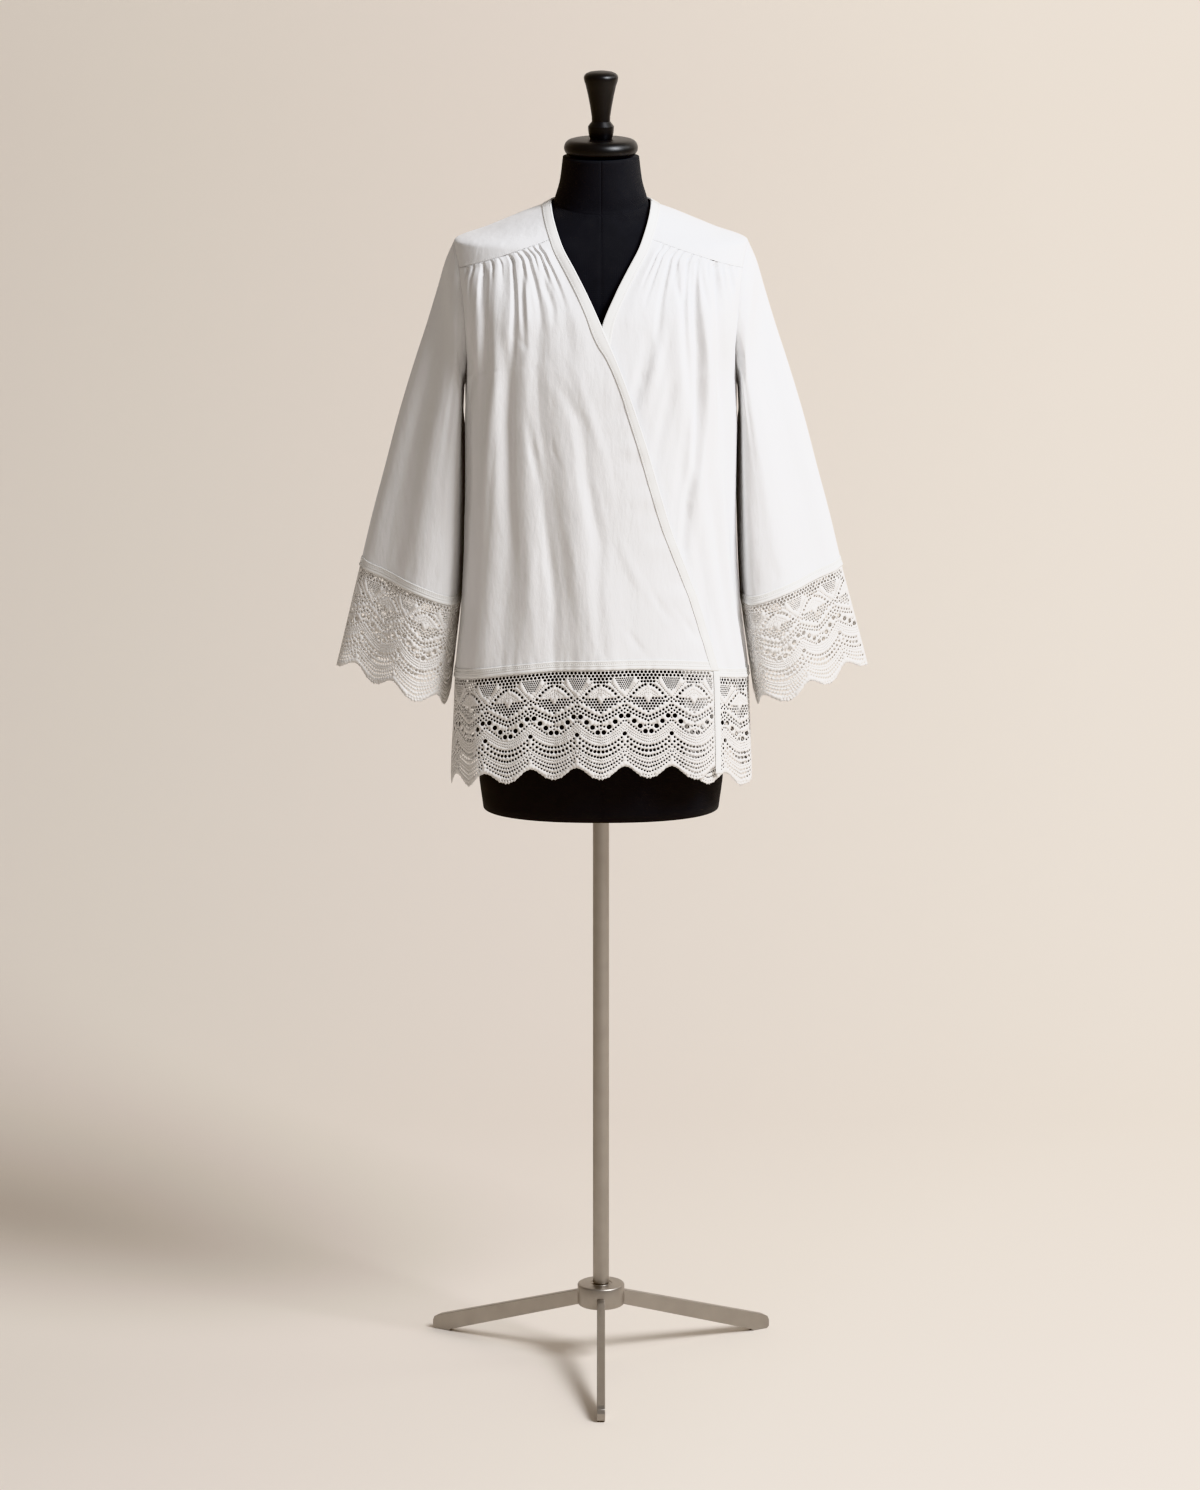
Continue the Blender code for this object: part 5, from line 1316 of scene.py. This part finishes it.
def lace_piece(node, point_at, length, halves, inside, hangs_from, start=SEAM, from_cusp=False):
    """Bends a flat strip on to the garment, in the place of its CAD node, below its heading."""
    points, triangles, _ = FLAT_LACE[halves, from_cusp]
    stretch = (length - LACE_JOINT) / (halves * HALF_REPEAT)
    placed = point_at(LACE_JOINT / 2 + points[:, 0] * stretch, start + points[:, 1] * MM)
    mesh = bpy.data.meshes.new(f"{node}_net")
    mesh.from_pydata((placed + POLE).tolist(), [], [tuple(face) for face in triangles])
    layer = mesh.uv_layers.new(name="flat")
    corners = np.empty(len(mesh.loops), dtype=np.int64)
    mesh.loops.foreach_get("vertex_index", corners)
    to_tip = np.array([HALF_REPEAT if from_cusp else 0.0, 0.0])
    layer.data.foreach_set("uv", ((points[corners] + to_tip) * MM).ravel())
    face_outward(mesh, inside)
    piece = keep_piece(mesh, LACE, [node])
    thread_area = sum(polygon.area for polygon in mesh.polygons)
    apply_modifier(piece, "SOLIDIFY", thickness=LACE_WALL, offset=-1.0)
    LACES.append((piece, length, thread_area, f"heading_{hangs_from}_tape"))


LACES = []
LACE_EDGE = 0.0100
for which, halves, from_cusp, short in (("front_right", 14, True, LACE_EDGE),
                                        ("front_left", 5, False, 0.0), ("back", 17, True, 0.0)):
    lace_piece(f"lace_{which}", hem_profile(PANELS[which]), PANELS[which].hem.length - short, halves,
               inside_body, which, from_cusp=from_cusp)

down = np.linspace(SEAM, (LACE_DEPTH - SCALLOP / 2) * MM, 60)
free_end = [hem_profile(PANELS["front_right"])(np.full_like(down, OUTER_HEM.length - inset), down)
            for inset in (0.0, LACE_EDGE)]
_, normal = make_strip("lace_front_right_edge", *free_end, BAND_PROFILE, ending="fold")
sew_on_strip(*free_end, normal, *BAND_STITCHES)

CUFF_OUTER, CUFF_INNER, CUFF_FLARE = (0.0340, -0.1340), (0.0170, -0.1360), 0.0060
for which, side in (("right", -1), ("left", 1)):
    for half, inner_turn in (("front", math.pi), ("back", -math.pi)):
        ring_turns = np.linspace(0.0, inner_turn, 361)
        lengths = lengths_along(sleeve_surface(ring_turns, LAST_RING, side))

        def cuff_point(along, down):
            turn = np.interp(along, lengths, ring_turns)
            start = sleeve_surface(turn, LAST_RING, side)
            blend = 0.5 + 0.5 * np.cos(turn)
            run = [outer * blend + inner * (1 - blend)
                   for outer, inner in zip(CUFF_OUTER, CUFF_INNER)]
            share = down / (LACE_DEPTH * MM)
            sway = 2.0 * MM * ease(share) * np.sin(turn * 5 + side)
            away = unit(np.stack([np.cos(turn) * side, -np.sin(turn), 0 * turn], axis=-1))
            flare = np.stack([side * run[0], -CUFF_FLARE * np.sin(turn), run[1]], axis=-1)
            return start + flare * share[..., None] + away * sway[..., None]
        lace_piece(f"lace_sleeve_{which}_{half}", cuff_point, float(lengths[-1]), 7,
                   inside_sleeve(side), f"sleeve_{which}", start=LACE_JOINT)
print("laces:", [len(lace[0].data.polygons) for lace in LACES], "faces")

# %% [markdown]
# All runs of stitches become one mesh, because none of them is a part that anyone would pick up.

# %% Stitches as one piece
offset, points, triangles = 0, [], []
for run_points, run_triangles in STITCHES:
    points.append(run_points)
    triangles.append(run_triangles + offset)
    offset += len(run_points)
points, triangles = np.concatenate(points) + POLE, np.concatenate(triangles)
stitch_mesh = bpy.data.meshes.new("stitches")
stitch_mesh.from_pydata(points.tolist(), [], triangles.tolist())
stitches = keep_piece(stitch_mesh, TAPE)
print("stitches:", offset // 6)

# %% [markdown]
# ## The dress form
# The form is a hard shell under black jersey: a fine knit, matt, which catches light only
# at grazing angles, so sheen matters more than gloss. Its wales are 0.6 mm apart, drawn at
# 1.5 mm. A seam runs down the middle of the front and of the back, and one round the base
# of the neck. They are narrow hollows, so the rows and columns of points stand close there.

# %% Jersey
WALE_PITCH = 1.5 * MM
JERSEY, shader = new_material("jersey, black, fine-knitted", "#232325", 0.85, Sheen_Weight=0.20,
                              Sheen_Roughness=0.45, Sheen_Tint=linear("#8c8a88"),
                              Specular_IOR_Level=0.3)
place = add_node(shader, "TexCoord")
loops = add_node(shader, "Bump", {"Height": woven(shader, place["UV"], WALE_PITCH),
                 "Distance": 0.15 * MM, "Strength": 0.8})
fuzz = add_node(shader, "TexNoise", {"Vector": place["Object"], "Scale": 60.0, "Detail": 4.0})
tones = add_node(shader, "Mix", {"Factor": fuzz["Fac"], "A": linear("#1f1f21"),
                 "B": linear("#29292b")}, data_type="RGBA")
set_inputs(shader, {"Base Color": tones["Result"], "Normal": loops["Normal"]})
print("jersey drawn with wales", WALE_PITCH / MM, "mm apart")

# %% The form
SEAM_HOLLOW, SEAM_HALF = 0.7 * MM, 1.6 * MM
NECK_SEAM_Z, NECK_SEAM_DIP = 1.5935, 0.0085


def form_columns():
    """Bearings round the form, close together at the seams in the middle of front and back."""
    close = np.array([-0.06, -0.035, -0.02, -0.008, 0.0, 0.008, 0.02, 0.035, 0.06])
    even = np.linspace(0.0, 2 * math.pi, 108, endpoint=False)
    middles = (math.pi / 2, 3 * math.pi / 2)
    even = even[[min(abs(b - m) for m in middles) > 0.075 for b in even]]
    return np.sort(np.concatenate([even, *[close + m for m in middles]]))


def form_points():
    """The form's rows of points, with its seams as hollows."""
    bearings = form_columns()
    heights = stations((FORM_TOP, 1.605, 14), (1.605, 1.578, 34), (1.578, 1.50, 22),
                       (1.50, FORM_BOTTOM, 60))
    points = round_body(FORM, bearings[None, :], heights[:, None])
    seam_z = NECK_SEAM_Z - NECK_SEAM_DIP * np.maximum(np.sin(bearings), 0.0)[None, :] ** 2
    neck = 1 - np.abs(points[..., 2] - seam_z) / SEAM_HALF
    middle = 1 - np.abs(points[..., 0]) / SEAM_HALF
    hollow = SEAM_HOLLOW * ease(np.maximum(neck, middle))
    inward = unit(points * np.array([1.0, 1.0, 0.0]))
    return points - inward * hollow[..., None]


points = form_points()
form_mesh = grid_mesh("form_jersey", points, 0.90, 0.95, closed=True)
face_outward(form_mesh, inside_body)
form = keep_piece(form_mesh, JERSEY, ["form_torso"])
close_ends(form, False)
print("form:", len(form.data.polygons), "faces")

# %% [markdown]
# ## Turned pieces
# The neck cap and its finial are turned wood under satin black lacquer, and the pole and the
# hub are turned steel. A lathe works from a profile, and so does this: a filled circle is
# extruded and resized from ring to ring, which leaves both ends closed.

# %% Turning
def turned(node, profile, segments, material, ending):
    """A closed turned piece. profile lists (radius, height) in metres, from the bottom up."""
    last_radius, last_z = profile[0]
    x, y, _ = POLE
    bpy.ops.mesh.primitive_circle_add(vertices=segments, radius=last_radius, fill_type="TRIFAN",
                                      location=(x, y, last_z))
    piece = bpy.context.object
    bpy.ops.object.transform_apply(location=True, rotation=False, scale=False)
    with editing(piece):
        for radius, z in profile[1:]:
            bpy.ops.mesh.extrude_region_move(TRANSFORM_OT_translate={"value": (0.0, 0.0, z - last_z)})
            ratio = radius / last_radius
            bpy.ops.transform.resize(value=(ratio, ratio, 1.0), center_override=(x, y, z))
            last_radius, last_z = radius, z
        bpy.ops.mesh.select_all(action="SELECT")
        bpy.ops.mesh.normals_make_consistent(inside=False)
    return finish_hard(piece, node, material, ending)


def finish_hard(piece, node, material, ending):
    """Names a hard piece, smooths what is round on it and lets it replace its CAD node."""
    piece.name = piece.data.name = f"{node}_{ending}"
    piece.data.materials.clear()
    piece.data.materials.append(material)
    piece.select_set(True)
    bpy.context.view_layer.objects.active = piece
    bpy.ops.object.shade_smooth_by_angle(angle=math.radians(38))
    piece.select_set(False)
    return declare(piece, [node])


def rounded(radius, z, bulge, first, last, steps):
    """Profile points on a circular edge of that radius, between two angles in degrees."""
    angles = np.radians(np.linspace(first, last, steps))
    return [(radius + bulge * math.cos(a), z + bulge * math.sin(a)) for a in angles]


# %% Lacquer
LACQUER, shader = new_material("lacquer, black satin, sprayed", "#161515", 0.40, Coat_Weight=0.15,
                               Coat_Roughness=0.34)
place = add_node(shader, "TexCoord")
peel, wear = [add_node(shader, "TexNoise", {"Vector": place["Object"], "Scale": scale,
                       "Detail": detail})["Fac"] for scale, detail in ((420.0, 2.0), (35.0, 5.0))]
orange_peel = add_node(shader, "Bump", {"Height": peel, "Distance": 0.06 * MM, "Strength": 0.35})
gloss = add_node(shader, "MapRange", {"Value": wear, "To Min": 0.36, "To Max": 0.44})
set_inputs(shader, {"Roughness": gloss["Result"], "Normal": orange_peel["Normal"]})
print("lacquer's roughness: 0.36 to 0.44")

# %% Neck cap and finial
cap = turned("neck_cap", [(0.0365, 1.6543), *rounded(0.0375, 1.6655, 0.0110, -80, 80, 17),
             (0.0365, 1.6770)], 72, LACQUER, "turned")
finial = turned("neck_finial", [
    (0.0142, 1.6773), (0.0153, 1.6800), (0.0164, 1.6845), (0.0168, 1.6885), (0.0170, 1.6912),
    (0.0170, 1.6935), (0.0158, 1.6950), (0.0140, 1.6975), (0.0120, 1.7000), (0.0122, 1.7060),
    (0.0140, 1.7180), (0.0172, 1.7350), (0.0200, 1.7470), (0.0220, 1.7530), (0.0225, 1.7562),
    (0.0225, 1.7580), (0.0217, 1.7603), (0.0195, 1.7625), (0.0150, 1.7645), (0.0080, 1.7656),
    (0.0020, 1.7660)], 56, LACQUER, "turned")
print("turned, faces:", len(cap.data.polygons), len(finial.data.polygons))

# %% [markdown]
# ## Stand
# A steel pole stands in a round hub with three flat legs, brushed along their length under
# a clear satin lacquer. A leg starts as a block as big as its whole outline. Bisecting cuts
# off what lies above the sloping top, beyond the toe and under the sloping underside, and
# the foot pad is then extruded down from the flat that is left. The brushing runs along
# each leg's own length, so its UV map, made before the copies are turned, holds that.

# %% Steel
STEEL, shader = new_material("steel, brushed, satin-lacquered", "#aea8a0", 0.38, Metallic=1.0)
place = add_node(shader, "TexCoord")
drawn = add_node(shader, "Mapping", {"Vector": place["UV"], "Scale": (0.02, 1.0, 1.0)})
lines = add_node(shader, "TexNoise", {"Vector": drawn["Vector"], "Scale": 1500.0, "Detail": 3.0})
brushing = add_node(shader, "Bump", {"Height": lines["Fac"], "Distance": 0.04 * MM,
                    "Strength": 0.5})
patches = add_node(shader, "TexNoise", {"Vector": place["Object"], "Scale": 40.0, "Detail": 4.0})
gloss = add_node(shader, "MapRange", {"Value": patches["Fac"], "To Min": 0.32, "To Max": 0.46})
tones = add_node(shader, "Mix", {"Factor": patches["Fac"], "A": linear("#b3ada5"),
                 "B": linear("#a8a199")}, data_type="RGBA")
set_inputs(shader, {"Base Color": tones["Result"], "Roughness": gloss["Result"],
                    "Normal": brushing["Normal"]})
print("steel's roughness: 0.32 to 0.46")


def wrap_uv(piece, along, round_by):
    """UV map in metres from each point: along(point) and round_by(point)."""
    mesh = piece.data
    layer = mesh.uv_layers.get("flat") or mesh.uv_layers.new(name="flat")
    for loop in mesh.loops:
        point = mesh.vertices[loop.vertex_index].co
        layer.data[loop.index].uv = (along(point), round_by(point))


# %% Pole and hub
POLE_R, HUB_R = 0.0110, 0.0320


def turn_of(point):
    """Way round the pole, in metres on its face."""
    return math.atan2(point.y - POLE[1], point.x) * POLE_R


pole = turned("stand_pole", [(0.0102, 0.1083), (POLE_R, 0.1091), (POLE_R, 0.7789), (0.0102, 0.7797)],
              40, STEEL, "steel")
hub = turned("stand_hub", [(0.0260, 0.0780), (0.0302, 0.0783), (0.0314, 0.0790), (HUB_R, 0.0803),
             (HUB_R, 0.1057), (0.0314, 0.1070), (0.0302, 0.1077), (0.0290, 0.1080), (0.0150, 0.1080),
             (0.0144, 0.1072), (0.0126, 0.1072), (0.0122, 0.1080)], 56, STEEL, "steel")
for piece in (pole, hub):
    wrap_uv(piece, lambda point: point.z, turn_of)
print("pole and hub, faces:", len(pole.data.polygons), len(hub.data.polygons))

# %% Legs
LEG_WIDTH, LEG_ROOT, LEG_REACH, LEG_TOP = 0.0110, 0.0323, 0.2670, 0.0945
PAD_START, PAD_HEIGHT = 0.2380, 0.0030
LEG_CUTS = [((LEG_ROOT, LEG_TOP), (0.2580, 0.0210)), ((0.2580, 0.0210), (0.2645, 0.0175)),
            ((0.2645, 0.0175), (LEG_REACH, 0.0120)), ((PAD_START, PAD_HEIGHT), (LEG_ROOT, 0.0735))]
PAD_TAPER, PAD_SHIFT = (0.76, 0.94, 1.0), -0.0005
FLAT_FACE = 25 * MM**2     # a leg's larger faces are flat, the others are its bevels


def cut_leg():
    """A leg along +X from the pole's axis, at the world's origin."""
    length, height = LEG_REACH - LEG_ROOT, LEG_TOP - PAD_HEIGHT
    bpy.ops.mesh.primitive_cube_add(size=1.0, location=((LEG_REACH + LEG_ROOT) / 2, 0.0,
                                    PAD_HEIGHT + height / 2), scale=(length, LEG_WIDTH, height))
    leg = bpy.context.object
    bpy.ops.object.transform_apply(location=True, rotation=False, scale=True)
    with editing(leg):
        for (x, z), (x_end, z_end) in LEG_CUTS:
            bpy.ops.mesh.select_all(action="SELECT")
            away = Vector((z - z_end, 0.0, x_end - x)).normalized()
            bpy.ops.mesh.bisect(plane_co=(x, 0.0, z), plane_no=away, use_fill=True, clear_outer=True)
        bpy.ops.mesh.select_all(action="DESELECT")
    for face in leg.data.polygons:
        face.select = face.center.z < PAD_HEIGHT + 0.0001
    middle = ((PAD_START + LEG_REACH) / 2, 0.0, 0.0)
    with editing(leg, everything=False):
        bpy.ops.mesh.select_mode(type="FACE")
        bpy.ops.mesh.extrude_region_move(
            TRANSFORM_OT_translate={"value": (PAD_SHIFT, 0.0, -PAD_HEIGHT)})
        bpy.ops.transform.resize(value=PAD_TAPER, center_override=middle)
        bpy.ops.mesh.select_all(action="SELECT")
        bpy.ops.mesh.normals_make_consistent(inside=False)
    apply_modifier(leg, "BEVEL", width=0.7 * MM, segments=3, limit_method="ANGLE",
                   angle_limit=math.radians(35))
    return leg


first_leg = cut_leg()
wrap_uv(first_leg, lambda point: point.x + 0.34 * point.z, lambda point: point.z + point.y)
legs = []
for which, bearing in (("front", -90), ("right", 150), ("left", 30)):
    leg = bpy.data.objects.new(which, first_leg.data.copy())
    bpy.context.scene.collection.objects.link(leg)
    bpy.ops.object.select_all(action="DESELECT")
    leg.select_set(True)
    bpy.context.view_layer.objects.active = leg
    leg.location, leg.rotation_euler = POLE, (0.0, 0.0, math.radians(bearing))
    bpy.ops.object.transform_apply(location=True, rotation=True, scale=False)
    legs.append(finish_hard(leg, f"stand_leg_{which}", STEEL, "steel"))
    for face in leg.data.polygons:
        face.use_smooth = face.area < FLAT_FACE
bpy.data.objects.remove(first_leg)
print("legs, faces:", [len(leg.data.polygons) for leg in legs])

# %% [markdown]
# ## How each sheet is cut
# A sheet's flat size is the piece of cloth it is cut from, and its area the cut shape's. The
# panels' widths are those of the finished, gathered piece along its own surface. The lace's
# area is what is left between its holes.

# %% Sheets
SHEETS = [
    ("yoke_cloth", (0.5, 0.34), 0.07, "draped", "form_jersey"),
    ("front_left_cloth", (0.36, 0.6), 0.123, "gathered", "yoke_cloth form_jersey"),
    ("front_right_cloth", (0.45, 0.608), 0.181, "gathered", "yoke_cloth front_left_cloth"),
    ("back_cloth", (0.6, 0.57), 0.276, "gathered", "yoke_cloth form_jersey"),
    ("sleeve_right_cloth", (0.47, 0.455), 0.14, "hung", "yoke_cloth"),
    ("sleeve_left_cloth", (0.47, 0.455), 0.14, "hung", "yoke_cloth"),
    ("band_right_tape", (0.014, 0.69), None, "folded", "front_right_cloth yoke_cloth"),
    ("band_left_tape", (0.014, 0.69), None, "folded", "front_left_cloth yoke_cloth"),
    ("band_neck_back_tape", (0.014, 0.205), None, "folded", "yoke_cloth"),
    *[(f"heading_{on}_tape", (0.0135, length), None, "laid", f"{on}_cloth") for on, length in (
        ("front_right", 0.438), ("front_left", 0.165), ("back", 0.56), ("sleeve_right", 0.434),
        ("sleeve_left", 0.434))],
    ("lace_front_right_edge_fold", (0.011, 0.136), None, "hung", "band_right_tape"),
]
for name, flat, area, held, rests_on in SHEETS:
    piece = bpy.data.objects[name]
    surface = sum(polygon.area for polygon in piece.data.polygons)
    print(f"{name}: surface {surface:.4f} m2, flat {area or flat[0] * flat[1]:.4f} m2")
for piece, length, thread_area, heading_above in LACES:
    print(f"{piece.name}: thread {thread_area:.4f} m2 of {length * LACE_DEPTH * MM:.4f} m2")

# %% [markdown]
# ## Studio
# A warm, pale paper sweep, a large soft light from above on the wearer's left, and little
# light from the other side, so that the folds keep their shade. White cloth in a strong
# light has to hold its detail, so the view transform is one that rounds off the highlights.
# The paper shows on its good side only, so that a view from behind still sees the object.

# %% Paper sweep
bpy.ops.mesh.primitive_plane_add(size=1.0, location=(0.0, -4.0, 0.0))
sweep = bpy.context.object
sweep.name = "paper_sweep"
sweep.data.transform(Matrix.Diagonal((16.0, 10.4, 1.0, 1.0)))
bpy.ops.object.transform_apply(location=True, rotation=False, scale=True)
with editing(sweep):
    bpy.ops.mesh.select_mode(type="VERT")
    bpy.ops.mesh.select_all(action="DESELECT")
for vertex in sweep.data.vertices:           # the far edge, which is drawn up into the wall
    vertex.select = vertex.co.y > 1.1
SWEEP_R, SWEEP_STEPS, SWEEP_WALL = 1.4, 16, 5.0
with editing(sweep, everything=False):
    for step in range(SWEEP_STEPS):
        first, last = (math.radians(90 * (step + i) / SWEEP_STEPS) for i in (0, 1))
        bpy.ops.mesh.extrude_region_move(TRANSFORM_OT_translate={"value": (
            0.0, SWEEP_R * (math.sin(last) - math.sin(first)),
            SWEEP_R * (math.cos(first) - math.cos(last)))})
    bpy.ops.mesh.extrude_region_move(TRANSFORM_OT_translate={"value": (0.0, 0.0, SWEEP_WALL)})
    bpy.ops.mesh.select_all(action="SELECT")
    bpy.ops.mesh.normals_make_consistent(inside=False)
if sweep.data.polygons[0].normal.z < 0:      # its good side is up, and towards the object
    sweep.data.flip_normals()
sweep.data.shade_smooth()

# %% Paper
PAPER, shader = new_material("paper, warm white, matt", "#ebe3d9", 0.95, Specular_IOR_Level=0.1)
place = add_node(shader, "TexCoord")
fibres = add_node(shader, "TexNoise", {"Vector": place["Object"], "Scale": 260.0, "Detail": 3.0})
tooth = add_node(shader, "Bump", {"Height": fibres["Fac"], "Distance": 0.1 * MM, "Strength": 0.3})
set_inputs(shader, {"Normal": tooth["Normal"]})
behind = add_node(shader, "NewGeometry")["Backfacing"]
clear = add_node(shader, "BsdfTransparent")["BSDF"]
one_way = add_node(shader, "MixShader", {0: behind, 1: shader.outputs["BSDF"], 2: clear})
set_inputs(PAPER.node_tree.nodes["Material Output"], {"Surface": one_way["Shader"]})
sweep.data.materials.append(PAPER)
print("sweep:", len(sweep.data.polygons), "faces")


# %% Lights
def soft_box(name, place, aim, size, watts, colour):
    """A rectangular area light at place, turned towards aim."""
    light = bpy.data.lights.new(name, "AREA")
    light.shape, light.size, light.size_y = "RECTANGLE", *size
    light.energy, light.color = watts, linear(colour)[:3]
    lamp = bpy.data.objects.new(name, light)
    lamp.location = place
    lamp.rotation_euler = (Vector(aim) - Vector(place)).to_track_quat("-Z", "Y").to_euler()
    bpy.context.scene.collection.objects.link(lamp)
    print(name, size, "m,", watts, "W")


MIDDLE = (0.0, 0.0, 1.15)
soft_box("key_soft_box", (2.518, -1.967, 4.027), MIDDLE, (1.6, 2.0), 218.0, "#f6f9ff")
soft_box("background_light", (2.6, 0.6, 3.0), (1.0, 2.9, 1.8), (1.6, 1.6), 18.0, "#ffffff")
world = bpy.data.worlds.new("studio")
world.use_nodes = True
world.node_tree.nodes["Background"].inputs["Color"].default_value = linear("#fff5ec")
world.node_tree.nodes["Background"].inputs["Strength"].default_value = 0.30
bpy.context.scene.world = world
bpy.context.scene.view_settings.view_transform = "Khronos PBR Neutral"
if hasattr(bpy.context.scene, "cycles"):     # keeps the lace's small holes sharp
    bpy.context.scene.cycles.denoising_prefilter = "NONE"

# %% Camera
FRAME_HEIGHT, TILT = 1490, 13.08              # pixels, and degrees down from level
camera = bpy.data.cameras.new("camera")
camera.lens, camera.sensor_width = 148.2, 36.0
camera.shift_x = -1 / FRAME_HEIGHT           # one pixel
camera.clip_end = 60.0
viewer = bpy.data.objects.new("camera", camera)
viewer.location = (0.0, -8.0 + POLE[1], 2.721)
viewer.rotation_euler = (math.radians(90 - TILT), 0.0, 0.0)
bpy.context.scene.collection.objects.link(viewer)
bpy.context.scene.camera = viewer
print("camera at", [round(value, 3) for value in viewer.location], "lens", round(camera.lens, 1), "mm")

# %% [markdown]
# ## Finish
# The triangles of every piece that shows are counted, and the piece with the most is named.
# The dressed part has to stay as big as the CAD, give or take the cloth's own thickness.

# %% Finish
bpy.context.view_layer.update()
shown = [piece for piece in bpy.data.objects if piece.type == "MESH" and piece is not sweep
         and not piece.hide_render]
triangles = {piece.name: sum(len(polygon.vertices) - 2 for polygon in piece.data.polygons)
             for piece in shown}
most = max(triangles, key=triangles.get)
print("triangles:", sum(triangles.values()), " most:", most, triangles[most])
